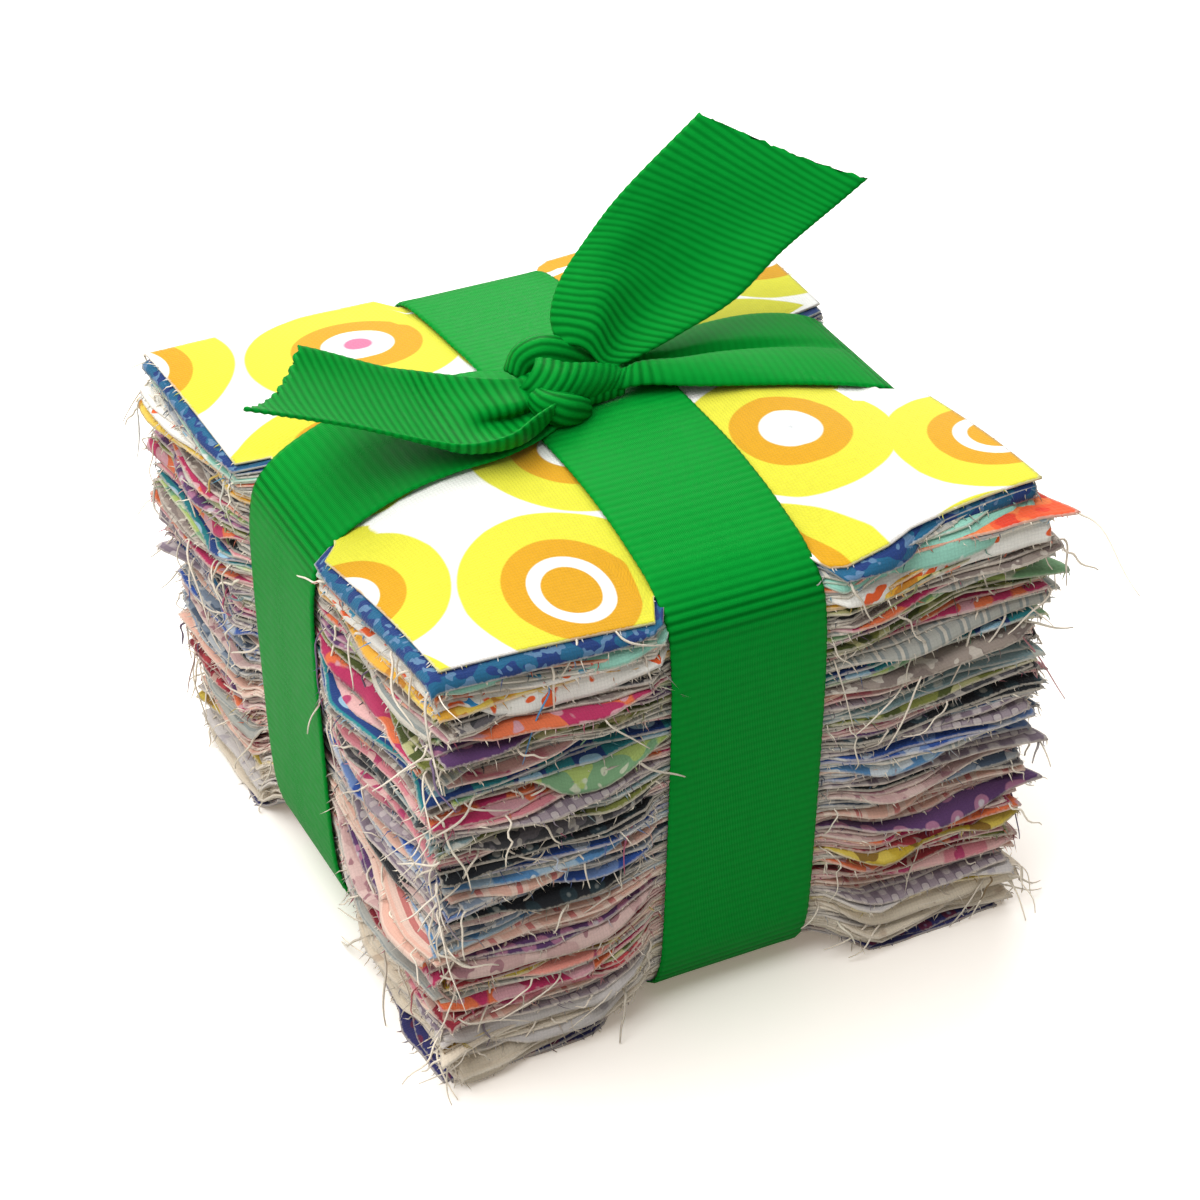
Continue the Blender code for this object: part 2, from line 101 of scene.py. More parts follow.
# Shape across the gathered part: share of the width, height as a share of the gather's depth.
GATHER_PROFILE = (
    (0.0, -0.35), (0.1, 0.35), (0.3, 0.85), (0.46, 0.45),
    (0.54, -0.9), (0.63, 0.25), (0.8, 0.45), (1.0, 0.0),
)


def points_to_frame(points: np.ndarray, shift: np.ndarray) -> np.ndarray:
    """Moves points from the stack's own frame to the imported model's.

    Args:
        points: Places in millimetres, the last axis holding x, y and z.
        shift: Where the stack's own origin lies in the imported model, in millimetres.

    Returns:
        The places in metres.
    """
    return (points + shift) * MM


def measured_shift() -> np.ndarray:
    """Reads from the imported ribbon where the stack's own origin lies.

    Returns:
        The shift in millimetres. Band A's flat underside gives x, and its two faces give y.
    """
    corners = np.array([corner.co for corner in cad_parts["ribbon"].data.vertices]) / MM
    underside_depth = 0.02
    flat = corners[corners[:, 2] < corners[:, 2].min() + underside_depth]
    across = (flat[:, 0].min() + flat[:, 0].max()) / 2 - BAND_A_CENTRE
    along = (corners[:, 1].min() + corners[:, 1].max()) / 2
    return np.array([across, along, corners[:, 2].min()])


def smooth_rows(rows: np.ndarray, steps: int) -> np.ndarray:
    """Reads a Catmull-Rom curve through the given rows.

    Args:
        rows: Control rows, the first axis running along the curve.
        steps: Steps to a span.

    Returns:
        The denser rows.
    """
    last = len(rows) - 1
    t = (np.arange(steps) / steps).reshape((-1,) + (1,) * (rows.ndim - 1))
    spans = []
    for index in range(last):
        a, b, c, d = (rows[min(max(index + offset, 0), last)] for offset in (-1, 0, 1, 2))
        cubic = (3 * b - a - 3 * c + d) * t**3
        square = (2 * a - 5 * b + 4 * c - d) * t**2
        spans.append(0.5 * (2 * b + (c - a) * t + square + cubic))
    spans.append(rows[last:])
    return np.concatenate(spans)


def smooth_step(low: float, high: float, value: np.ndarray) -> np.ndarray:
    """Returns 0 below low and 1 above high, with a soft step between."""
    share = np.clip((value - low) / (high - low), 0.0, 1.0)
    return share * share * (3 - 2 * share)


def band_centre(axis: int) -> float:
    """Returns the middle, across its width, of the band that crosses the side faces of one axis."""
    return BAND_B_CENTRE if axis == 0 else BAND_A_CENTRE


def make_two_faced(body: bmesh.types.BMesh) -> None:
    """Gives a flat cloth its second face and the rim between them.

    Args:
        body: The one-faced cloth. Its second face is set at height 1.
    """
    raised = bmesh.ops.extrude_face_region(body, geom=body.faces[:])["geom"]
    lifted = [item for item in raised if isinstance(item, bmesh.types.BMVert)]
    bmesh.ops.translate(body, vec=(0.0, 0.0, 1.0), verts=lifted)
    bmesh.ops.recalc_face_normals(body, faces=body.faces[:])


def add_piece(name: str, mesh: bpy.types.Mesh, material: bpy.types.Material) -> bpy.types.Object:
    """Puts a finished mesh into the scene as a piece that rides on the pack.

    Args:
        name: The piece's name.
        mesh: The mesh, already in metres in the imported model's frame.
        material: The finish.

    Returns:
        The new object.
    """
    mesh.materials.clear()
    mesh.materials.append(material)
    mesh.shade_smooth()
    piece = bpy.data.objects.new(name, mesh)
    bpy.context.scene.collection.objects.link(piece)
    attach(piece, BODY)
    return piece


def opaque(colour: tuple[float, float, float]) -> tuple[float, ...]:
    """Returns a colour with full cover."""
    return (*colour, 1.0)


def grey(value: float) -> tuple[float, ...]:
    """Returns a grey of one value."""
    return (value, value, value, 1.0)


class NodeBench:
    """Adds nodes to one shader tree and joins them."""

    def __init__(self, tree: bpy.types.NodeTree) -> None:
        """Keeps the tree that nodes go into."""
        self.tree = tree

    def add(self, kind: str, inputs: dict | None = None, **settings: object) -> bpy.types.Node:
        """Adds a node.

        Args:
            kind: The node's type name.
            inputs: Values or sockets for its inputs, by name or index.
            **settings: Values for the node's own properties.

        Returns:
            The new node.
        """
        node = self.tree.nodes.new(kind)
        for name, value in settings.items():
            setattr(node, name, value)
        self.feed_all(node, inputs or {})
        return node

    def feed(self, socket: bpy.types.NodeSocket, value: object) -> None:
        """Links a socket to another, or sets its value.

        Args:
            socket: The input.
            value: A value or an output socket.
        """
        if isinstance(value, bpy.types.NodeSocket):
            self.tree.links.new(value, socket)
        else:
            socket.default_value = value

    def feed_all(self, node: bpy.types.Node, inputs: dict) -> None:
        """Feeds several inputs of a node.

        Args:
            node: The node.
            inputs: Values or sockets by input name or index.
        """
        for key, value in inputs.items():
            self.feed(node.inputs[key], value)

    def group(self, tree: bpy.types.NodeTree, inputs: dict) -> bpy.types.Node:
        """Adds a shared effect and feeds it.

        Args:
            tree: The effect's node group.
            inputs: Values or sockets by input name.

        Returns:
            The group's node.
        """
        node = self.add("ShaderNodeGroup", node_tree=tree)
        self.feed_all(node, inputs)
        return node

    def bump(self, height: object, strength: float, depth_mm: float) -> bpy.types.NodeSocket:
        """Raises the surface by a height.

        Args:
            height: The height's socket.
            strength: How strongly it shows.
            depth_mm: Its depth in millimetres.

        Returns:
            The normal's socket.
        """
        inputs = {"Height": height, "Strength": strength, "Distance": depth_mm * MM}
        return self.add("ShaderNodeBump", inputs).outputs[0]

    def maths(self, operation: str, *values: object) -> bpy.types.NodeSocket:
        """Adds a Math node and returns its output."""
        return self.add("ShaderNodeMath", dict(enumerate(values)), operation=operation).outputs[0]

    def mix(self, share: object, first: object, second: object, blend: str = "MIX") -> bpy.types.NodeSocket:
        """Mixes two colours.

        Args:
            share: How much of the second colour shows.
            first: A colour or its socket.
            second: A colour or its socket.
            blend: The kind of mix.

        Returns:
            The mixed colour's socket.
        """
        node = self.add("ShaderNodeMix", {0: share}, data_type="RGBA", blend_type=blend)
        self.feed(node.inputs[6], first)
        self.feed(node.inputs[7], second)
        return node.outputs[2]

    def ramp(self, value: object, low: float, high: float) -> bpy.types.NodeSocket:
        """Spreads a value between two limits over 0 to 1, clamped."""
        inputs = {"Value": value, "From Min": low, "From Max": high}
        return self.add("ShaderNodeMapRange", inputs).outputs[0]

    def attribute(self, name: str, output: str) -> bpy.types.NodeSocket:
        """Returns one output of a mesh attribute."""
        return self.add("ShaderNodeAttribute", attribute_name=name).outputs[output]

    def noise(self, vector: object, scale: float, detail: float = 2.0) -> bpy.types.NodeSocket:
        """Returns a noise value around one half."""
        inputs = {"Vector": vector, "Scale": scale, "Detail": detail}
        return self.add("ShaderNodeTexNoise", inputs).outputs[0]


def start_material(name: str) -> tuple[bpy.types.Material, NodeBench, bpy.types.Node]:
    """Starts a material.

    Args:
        name: The material's name.

    Returns:
        The material, the bench to work on and its Principled node.
    """
    material = bpy.data.materials.new(name)
    material.use_nodes = True
    return material, NodeBench(material.node_tree), material.node_tree.nodes["Principled BSDF"]


class SharedEffects:
    """The shader node groups that more than one finish uses."""

    def __init__(self) -> None:
        """Builds every group once."""
        self.weave = self.build_weave()
        self.fray = self.build_fray()

    @staticmethod
    def start(name: str, inputs: dict, outputs: dict) -> tuple[NodeBench, bpy.types.Node, bpy.types.Node]:
        """Starts a node group.

        Args:
            name: The group's name.
            inputs: Socket types by input name.
            outputs: Socket types by output name.

        Returns:
            The bench to work on, and the group's input and output nodes.
        """
        tree = bpy.data.node_groups.new(name, "ShaderNodeTree")
        for title, kind in inputs.items():
            tree.interface.new_socket(title, in_out="INPUT", socket_type=kind)
        for title, kind in outputs.items():
            tree.interface.new_socket(title, in_out="OUTPUT", socket_type=kind)
        bench = NodeBench(tree)
        return bench, bench.add("NodeGroupInput"), bench.add("NodeGroupOutput")

    def build_weave(self) -> bpy.types.NodeTree:
        """Builds plain weave: threads of one pitch that pass over and under each other.

        Returns:
            The group, with a height and a slow tone from thread to thread.
        """
        inputs = {"Vector": "NodeSocketVector", "Pitch": "NodeSocketFloat"}
        outputs = {"Height": "NodeSocketFloat", "Tone": "NodeSocketFloat"}
        bench, source, sink = self.start("Plain weave", inputs, outputs)
        split = bench.add("ShaderNodeSeparateXYZ", {0: source.outputs["Vector"]})
        waves = []
        for axis in (0, 1):
            phase = bench.maths("DIVIDE", split.outputs[axis], source.outputs["Pitch"])
            waves.append(bench.maths("SINE", bench.maths("MULTIPLY", phase, math.pi)))
        warp, weft = (bench.maths("ABSOLUTE", wave) for wave in waves)
        over = bench.ramp(bench.maths("MULTIPLY", *waves), -0.15, 0.15)
        upper = bench.maths("MULTIPLY", warp, over)
        lower = bench.maths("MULTIPLY", weft, bench.maths("SUBTRACT", 1.0, over))
        bench.feed(sink.inputs["Height"], bench.maths("ADD", upper, lower))
        bench.feed(sink.inputs["Tone"], bench.noise(source.outputs["Vector"], 1.4, 3.0))
        return bench.tree

    def build_fray(self) -> bpy.types.NodeTree:
        """Builds the undyed thread ends that show along a cut rim.

        Returns:
            The group, whose mask is 1 where bare thread shows.
        """
        inputs = {"Rim": "NodeSocketFloat", "Vector": "NodeSocketVector", "Depth": "NodeSocketFloat"}
        bench, source, sink = self.start("Frayed rim", inputs, {"Mask": "NodeSocketFloat"})
        speckle = bench.noise(source.outputs["Vector"], 2.6, 2.0)
        edge = bench.maths("ADD", source.outputs["Rim"], source.outputs["Depth"])
        reach = bench.maths("ADD", edge, bench.maths("MULTIPLY", speckle, 0.9))
        bench.feed(sink.inputs["Mask"], bench.ramp(reach, 1.0, 1.3))
        return bench.tree


class Motif(Enum):
    """How a print covers its ground."""

    PLAIN = "plain"
    BLOTS = "soft blots"
    DOTS = "dots"
    STRIPES = "stripes"
    CHECKS = "checks"
    SPRIGS = "sprigs"


@dataclass(frozen=True)
class PrintFinish:
    """One printed cotton: its ground, its two inks and its ordinary repeat."""

    name: str
    ground: tuple[float, float, float]
    ink_a: tuple[float, float, float]
    ink_b: tuple[float, float, float]
    motif: Motif = Motif.BLOTS
    motif_mm: float = 5.0
    undyed: tuple[float, float, float] = (0.80, 0.72, 0.61)
    reverse_share: float = 0.45
    fray_share: float = 0.45
    thread_pitch: float = 0.36
    # shaded: the painted shade in the weave's hollows, and also the low end of the tone from thread to
    # thread
    shaded: float = 0.90
    bright: float = 1.04

    def masks(self, bench: NodeBench, vector: bpy.types.NodeSocket) -> tuple[object, object]:
        """Builds where the two inks lie.

        Args:
            bench: The material's bench.
            vector: Places on the cloth in millimetres.

        Returns:
            The two inks' masks.
        """
        scale = 1.0 / self.motif_mm
        if self.motif is Motif.PLAIN:
            return 0.0, bench.ramp(bench.noise(vector, scale * 2.0), 0.62, 0.66)
        if self.motif is Motif.BLOTS:
            first = bench.ramp(bench.noise(vector, scale, 1.0), 0.50, 0.52)
            return first, bench.ramp(bench.noise(vector, scale * 1.7, 1.0), 0.58, 0.60)
        if self.motif is Motif.DOTS:
            inputs = {"Vector": vector, "Scale": scale, "Randomness": 0.2}
            cells = bench.add("ShaderNodeTexVoronoi", inputs)
            distance = cells.outputs["Distance"]
            return bench.ramp(distance, 0.30, 0.26), bench.ramp(distance, 0.14, 0.10)
        split = bench.add("ShaderNodeSeparateXYZ", {0: vector})
        waves = [
            bench.maths("SINE", bench.maths("MULTIPLY", split.outputs[axis], math.tau * scale))
            for axis in (0, 1)
        ]
        if self.motif is Motif.STRIPES:
            return bench.ramp(waves[0], 0.0, 0.1), bench.ramp(waves[0], 0.86, 0.9)
        if self.motif is Motif.CHECKS:
            return bench.ramp(waves[0], 0.0, 0.1), bench.ramp(bench.maths("MULTIPLY", *waves), 0.3, 0.36)
        inputs = {"Vector": vector, "Scale": scale * 1.4, "Randomness": 0.9}
        cells = bench.add("ShaderNodeTexVoronoi", inputs, distance="MINKOWSKI")
        leaves = bench.ramp(cells.outputs["Distance"], 0.36, 0.32)
        return leaves, bench.ramp(bench.noise(vector, scale * 2.2, 1.0), 0.60, 0.62)

    def build(self, effects: SharedEffects) -> bpy.types.Material:
        """Builds the material.

        Args:
            effects: The shared node groups.

        Returns:
            The finished material.
        """
        material, bench, shader = start_material(f"cotton {self.name}")
        vector = bench.attribute("cut", "Vector")
        self.dress(bench, shader, effects, vector)
        return material

    def colours(self, bench: NodeBench, vector: bpy.types.NodeSocket) -> bpy.types.NodeSocket:
        """Builds the printed face's colour.

        Args:
            bench: The material's bench.
            vector: Places on the cloth in millimetres.

        Returns:
            The colour's socket.
        """
        mask_a, mask_b = self.masks(bench, vector)
        first = bench.mix(mask_a, opaque(self.ground), opaque(self.ink_a))
        return bench.mix(mask_b, first, opaque(self.ink_b))

    def dress(
        self,
        bench: NodeBench,
        shader: bpy.types.Node,
        effects: SharedEffects,
        vector: bpy.types.NodeSocket,
    ) -> None:
        """Adds the print, its paler reverse, the bare cut rim, the weave with painted shade in its hollows,
        and the soft surface.

        Args:
            bench: The material's bench.
            shader: Its Principled node.
            effects: The shared node groups.
            vector: Places on the cloth in millimetres.
        """
        bare = opaque(self.undyed)
        reverse = bench.maths("MULTIPLY", bench.attribute("reverse", "Fac"), self.reverse_share)
        turned = bench.mix(reverse, self.colours(bench, vector), bare)
        rim = bench.attribute("rim", "Fac")
        fray = bench.group(effects.fray, {"Rim": rim, "Vector": vector, "Depth": -0.05})
        frayed = bench.mix(bench.maths("MULTIPLY", fray.outputs[0], self.fray_share), turned, bare)
        weave = bench.group(effects.weave, {"Vector": vector, "Pitch": self.thread_pitch})
        # Painted shade: the colour darkens towards shaded where the threads dip between their crossings.
        depth = bench.ramp(weave.outputs["Height"], 0.0, 1.0)
        shade = bench.mix(depth, grey(self.shaded), grey(1.0))
        tone = bench.mix(weave.outputs["Tone"], grey(self.shaded), grey(self.bright))
        woven = bench.mix(1.0, frayed, shade, "MULTIPLY")
        surface = {
            "Base Color": bench.mix(1.0, woven, tone, "MULTIPLY"),
            "Normal": bench.bump(weave.outputs["Height"], 0.6, 0.05),
            "Roughness": 0.88,
            "Specular IOR Level": 0.25,
            "Sheen Weight": 0.15,
            "Sheen Roughness": 0.5,
        }
        bench.feed_all(shader, surface)


@dataclass(frozen=True)
class RingPrint(PrintFinish):
    """The top cloth: a plain modern repeat of large rounds with rings inside them."""

    ring_white: tuple[float, float, float] = (0.93, 0.92, 0.88)
    accent: tuple[float, float, float] = (0.93, 0.17, 0.30)
    dark_accent: tuple[float, float, float] = (0.02, 0.07, 0.16)
    turn_deg: float = 24.0
    slide: tuple[float, float, float] = (4.0, 9.0, 0.0)
    unevenness: float = 0.16

    def colours(self, bench: NodeBench, vector: bpy.types.NodeSocket) -> bpy.types.NodeSocket:
        """Builds the printed face's colour.

        Args:
            bench: The material's bench.
            vector: Places on the cloth in millimetres.

        Returns:
            The colour's socket.
        """
        rotation = (0.0, 0.0, math.radians(self.turn_deg))
        mapping = {"Vector": vector, "Location": self.slide, "Rotation": rotation}
        placed = bench.add("ShaderNodeMapping", mapping).outputs[0]
        inputs = {"Vector": placed, "Scale": 1.0 / self.motif_mm, "Randomness": self.unevenness}
        cells = bench.add("ShaderNodeTexVoronoi", inputs)
        distance = cells.outputs["Distance"]
        face, ring, white = opaque(self.ink_a), opaque(self.ink_b), opaque(self.ring_white)
        pick = bench.add("ShaderNodeSeparateColor", {0: cells.outputs["Color"]})
        eye = bench.mix(bench.ramp(pick.outputs[0], 0.66, 0.67), ring, opaque(self.accent))
        eye = bench.mix(bench.ramp(pick.outputs[1], 0.70, 0.71), eye, opaque(self.dark_accent))
        colour = opaque(self.ground)
        # Columns: where each round begins and is full, as shares of the repeat, and its colour.
        rounds = ((0.515, 0.505, face), (0.325, 0.318, ring), (0.215, 0.208, white), (0.155, 0.148, eye))
        for begins, full, ink in rounds:
            colour = bench.mix(bench.ramp(distance, begins, full), colour, ink)
        return colour


YELLOW_ROUNDS = RingPrint(
    "yellow rounds", (0.93, 0.92, 0.88), (0.68, 0.65, 0.035), (0.64, 0.32, 0.002), Motif.PLAIN, 21.0
)
# The other prints. Columns: name, ground, first ink, second ink, motif, the motif's millimetres.
PRINT_ROWS = (
    ("deep teal", (0.012, 0.11, 0.22), (0.012, 0.04, 0.17), (0.10, 0.20, 0.34), Motif.BLOTS, 2.0),
    ("mint", (0.30, 0.62, 0.50), (0.25, 0.56, 0.46), (0.80, 0.86, 0.80), Motif.PLAIN, 6.0),
    ("white sprig", (0.86, 0.84, 0.78), (0.04, 0.30, 0.66), (0.86, 0.13, 0.03), Motif.SPRIGS, 5.0),
    ("white leaf", (0.84, 0.82, 0.72), (0.06, 0.22, 0.05), (0.08, 0.42, 0.66), Motif.SPRIGS, 4.6),
    ("amber", (0.86, 0.45, 0.05), (0.86, 0.60, 0.10), (0.60, 0.25, 0.03), Motif.BLOTS, 4.0),
    ("taupe", (0.34, 0.28, 0.24), (0.24, 0.19, 0.17), (0.58, 0.52, 0.45), Motif.BLOTS, 2.4),
    ("violet", (0.10, 0.04, 0.13), (0.38, 0.16, 0.26), (0.55, 0.48, 0.52), Motif.DOTS, 3.0),
    ("leaf", (0.22, 0.42, 0.22), (0.42, 0.55, 0.16), (0.62, 0.68, 0.50), Motif.BLOTS, 3.6),
    ("olive", (0.20, 0.22, 0.05), (0.07, 0.09, 0.02), (0.48, 0.47, 0.22), Motif.BLOTS, 4.5),
    ("crimson", (0.46, 0.03, 0.11), (0.72, 0.16, 0.06), (0.62, 0.32, 0.36), Motif.BLOTS, 5.0),
    ("stone", (0.42, 0.42, 0.38), (0.28, 0.31, 0.30), (0.60, 0.56, 0.48), Motif.STRIPES, 2.2),
    ("sea grey", (0.24, 0.36, 0.38), (0.42, 0.52, 0.50), (0.60, 0.64, 0.58), Motif.PLAIN, 5.0),
    ("rose", (0.68, 0.24, 0.28), (0.78, 0.46, 0.44), (0.50, 0.06, 0.16), Motif.BLOTS, 5.0),
    ("charcoal", (0.045, 0.045, 0.05), (0.11, 0.10, 0.11), (0.36, 0.33, 0.30), Motif.BLOTS, 2.6),
    ("navy tiles", (0.015, 0.05, 0.20), (0.02, 0.22, 0.25), (0.30, 0.52, 0.66), Motif.CHECKS, 7.0),
    ("plum grey", (0.22, 0.17, 0.21), (0.34, 0.28, 0.31), (0.50, 0.44, 0.44), Motif.CHECKS, 2.0),
    ("black", (0.012, 0.014, 0.018), (0.02, 0.04, 0.05), (0.30, 0.32, 0.30), Motif.DOTS, 3.4),
    ("royal blue", (0.03, 0.09, 0.36), (0.16, 0.26, 0.52), (0.46, 0.52, 0.62), Motif.BLOTS, 5.5),
    ("peach", (0.78, 0.46, 0.36), (0.82, 0.58, 0.48), (0.60, 0.20, 0.18), Motif.STRIPES, 4.0),
    ("slate", (0.07, 0.10, 0.15), (0.20, 0.25, 0.32), (0.42, 0.44, 0.46), Motif.BLOTS, 3.4),
    ("dusty pink", (0.56, 0.36, 0.34), (0.66, 0.47, 0.43), (0.36, 0.18, 0.20), Motif.BLOTS, 3.0),
    ("dark red", (0.25, 0.02, 0.035), (0.42, 0.05, 0.06), (0.48, 0.30, 0.25), Motif.BLOTS, 3.0),
    ("cream", (0.76, 0.66, 0.52), (0.72, 0.60, 0.46), (0.60, 0.48, 0.36), Motif.PLAIN, 6.0),
    ("pale grey", (0.60, 0.56, 0.54), (0.66, 0.62, 0.58), (0.44, 0.40, 0.42), Motif.PLAIN, 5.0),
    ("midnight", (0.03, 0.03, 0.13), (0.13, 0.02, 0.06), (0.24, 0.24, 0.36), Motif.DOTS, 3.0),
    ("coral", (0.82, 0.30, 0.24), (0.84, 0.44, 0.38), (0.30, 0.02, 0.10), Motif.SPRIGS, 7.0),
    ("sky", (0.10, 0.26, 0.50), (0.36, 0.50, 0.62), (0.62, 0.68, 0.72), Motif.BLOTS, 4.0),
    ("mustard", (0.52, 0.36, 0.03), (0.66, 0.50, 0.08), (0.25, 0.14, 0.02), Motif.BLOTS, 4.0),
    ("vermilion", (0.80, 0.10, 0.03), (0.82, 0.20, 0.06), (0.70, 0.05, 0.02), Motif.BLOTS, 4.0),
)
PRINTS = {finish.name: finish for finish in (YELLOW_ROUNDS, *(PrintFinish(*row) for row in PRINT_ROWS))}
# The prints from the top of the stack down. Columns: print, number of squares.
ORDER_FROM_TOP = (
    ("yellow rounds", 1), ("deep teal", 2), ("stone", 1), ("mint", 2), ("vermilion", 1), ("slate", 1),
    ("white leaf", 1), ("white sprig", 2), ("amber", 2), ("olive", 1), ("charcoal", 2), ("taupe", 2),
    ("crimson", 1), ("stone", 1), ("leaf", 2), ("violet", 2), ("leaf", 1), ("olive", 2),
    ("crimson", 2), ("stone", 2), ("black", 1), ("rose", 1), ("navy tiles", 3), ("leaf", 1),
    ("taupe", 2), ("crimson", 3), ("rose", 1), ("black", 1), ("plum grey", 2), ("sea grey", 3),
    ("olive", 1), ("charcoal", 2), ("rose", 2), ("violet", 1), ("black", 2), ("deep teal", 1),
    ("plum grey", 2), ("royal blue", 2), ("stone", 1), ("sky", 2), ("peach", 1), ("slate", 2),
    ("royal blue", 1), ("plum grey", 2), ("sky", 1), ("black", 1), ("dusty pink", 2), ("slate", 3),
    ("charcoal", 1), ("sky", 1), ("peach", 4), ("violet", 2), ("dusty pink", 2), ("crimson", 2),
    ("dark red", 2), ("mustard", 1), ("coral", 1), ("dark red", 1), ("stone", 2), ("crimson", 1),
    ("olive", 1), ("dark red", 2), ("rose", 2), ("peach", 2), ("plum grey", 2), ("pale grey", 2),
    ("mustard", 1), ("cream", 4), ("pale grey", 3), ("cream", 5), ("midnight", 2),
)


class Side(Enum):
    """A side face of the stack: the axis it looks along and its direction."""

    FRONT = (1, -1)
    BACK = (1, 1)
    LEFT = (0, -1)
    RIGHT = (0, 1)


@dataclass(frozen=True)
class Flap:
    """A stretch of one square's rim that stands out and hangs over the rims below it.

    order counts squares from the top; start and end are places along the side in millimetres.
    """

    order: int
    side: Side
    start: float
    end: float
    length: float
    angle: float = 78.0


@dataclass(frozen=True)
class CornerTip:
    """A corner of one square that sticks out of the stack; x and y give its signs."""

    order: int
    x: int
    y: int
    out: float
    rise: float


# The hanging rims that the photo shows. Columns: order, start, end, length. Past 31.75 a stretch
# takes in the corner.
PHOTO_RIMS = {
    Side.FRONT: (
        (1, 3.0, 38.0, 1.8), (1, -38.0, -2.0, 1.3), (5, 4.0, 34.0, 2.6), (5, -33.0, -2.0, 1.6),
        (9, 4.0, 36.0, 2.3), (10, -30.0, -3.0, 2.4), (12, 3.0, 24.0, 1.0), (19, 17.0, 38.0, 1.2),
        (21, 3.0, 28.0, 1.0), (30, 12.0, 38.0, 1.3), (38, 3.0, 32.0, 1.7), (43, 8.0, 38.0, 1.0),
        (36, -24.0, -3.0, 2.6), (50, -30.0, -3.0, 1.3), (64, 4.0, 34.0, 1.4), (72, -27.0, -3.0, 1.3),
        (80, 8.0, 30.0, 1.0), (86, -34.0, -3.0, 1.4), (92, 5.0, 33.0, 1.4), (107, -33.0, -3.0, 1.6),
        (111, 4.0, 36.0, 1.6), (117, -35.0, -3.0, 2.3),
    ),
    Side.LEFT: (
        (1, -38.0, -4.0, 1.2), (1, 6.0, 38.0, 1.0), (27, 9.0, 36.0, 1.8), (43, -33.0, -6.0, 2.4),
        (45, 9.0, 36.0, 2.2), (53, -31.0, -6.0, 2.2), (60, 8.0, 34.0, 1.6), (72, -33.0, -6.0, 2.2),
        (88, -34.0, -6.0, 1.4), (96, 9.0, 36.0, 1.6),
    ),
}
PHOTO_FLAPS = [Flap(row[0], side, *row[1:]) for side, rows in PHOTO_RIMS.items() for row in rows]
PHOTO_TIPS = (
    CornerTip(6, 1, -1, 2.6, -0.4),
    CornerTip(24, 1, -1, 1.6, 0.0),
    CornerTip(70, 1, -1, 1.8, 0.2),
    CornerTip(84, 1, -1, 2.4, 0.3),
    CornerTip(33, -1, -1, 1.4, -0.5),
    CornerTip(58, -1, 1, 2.0, -0.3),
    CornerTip(110, -1, -1, 1.3, 0.0),
)
# Where the photo shows the layers parted. Columns: x, y, share of the height, radius, half the opening.
PHOTO_GAPS = (
    (-14.0, -31.0, 0.735, 9.0, 0.7),
    (-31.0, -14.0, 0.66, 8.0, 0.6),
    (-12.0, -31.0, 0.47, 7.0, 0.45),
    (20.0, -31.0, 0.52, 7.0, 0.45),
)


class BandOutline:
    """One band's inner outline, which presses the cloth."""

    def __init__(self, points: list[tuple[float, float]], inset: float) -> None:
        """Moves the outer outline inward.

        Args:
            points: The outer outline as distance and height pairs, in order.
            inset: How far inward the cloth stops.
        """
        outer = np.array(points)
        run = np.gradient(outer, axis=0)
        run /= np.linalg.norm(run, axis=1, keepdims=True)
        inward = np.stack([-run[:, 1], run[:, 0]], axis=1)
        middle = np.array([0.0, BAND_MIDDLE_HEIGHT])
        wrong = ((middle - outer) * inward).sum(axis=1) < 0
        inward[wrong] *= -1
        self.points = outer + inward * inset

    def height(self, place: np.ndarray, upper: bool) -> np.ndarray:
        """Reads the outline's height, going straight on past its turn to the side face.

        Args:
            place: Distances from the middle.
            upper: Whether the upper run is read, not the lower one.

        Returns:
            The heights.
        """
        turn, quarter, flat_reach = HALF_SIDE - 3.2, 23.0, 29.6
        along, height = self.points[:, 0], self.points[:, 1]
        kept = (np.abs(along) < flat_reach) & ((height > BAND_MIDDLE_HEIGHT) == upper)
        order = np.argsort(along[kept])
        table = (along[kept][order], height[kept][order])
        side = np.where(place < 0, -1.0, 1.0)
        at_turn = np.interp(side * turn, *table)
        at_quarter = np.interp(side * quarter, *table)
        beyond = at_quarter + (at_turn - at_quarter) * (np.abs(place) - quarter) / (turn - quarter)
        return np.where(np.abs(place) <= turn, np.interp(place, *table), beyond)

    def reach(self, height: np.ndarray, direction: int) -> np.ndarray:
        """Reads how far out the cloth may reach on one side.

        Args:
            height: Heights on that side.
            direction: The side's sign.

        Returns:
            The distances from the middle.
        """
        side_begins = 23.0
        along, level = self.points[:, 0] * direction, self.points[:, 1]
        kept = along > side_begins
        order = np.argsort(level[kept])
        return np.interp(height, level[kept][order], along[kept][order])


def band_a_outline() -> list[tuple[float, float]]:
    """Returns the closed outer outline of the band over the front and the back."""
    return [(-along, height) for along, height in BAND_A_FRONT] + list(BAND_A_BACK)


def band_b_rows() -> list[tuple[float, float, float, float, float]]:
    """Works out the other band's rows from the knot round the stack and back to the knot.

    Returns:
        For each row its distance, height, near edge, far edge and depth of the gather.
    """
    near, far = BAND_B_CENTRE - HALF_RIBBON, BAND_B_CENTRE + HALF_RIBBON
    under = [(along, height + BAND_B_LIFT) for along, height in BAND_B_UNDER]
    right = [(along, height, near, far, 0.0) for along, height in reversed(under)]
    left = [(-along, height, near, far, 0.0) for along, height in under[1:]]
    drawn = {along: (inward, outward) for along, inward, outward in BAND_B_LEFT_DRAWN}
    top = []
    for along, height in BAND_B_LEFT_TOP:
        from_near, from_far = drawn.get(along, (0.0, 0.0))
        top.append((-along, height, near + from_near, far - from_far, 0.0))
    return list(BAND_B_RIGHT_TOP) + right + left + top


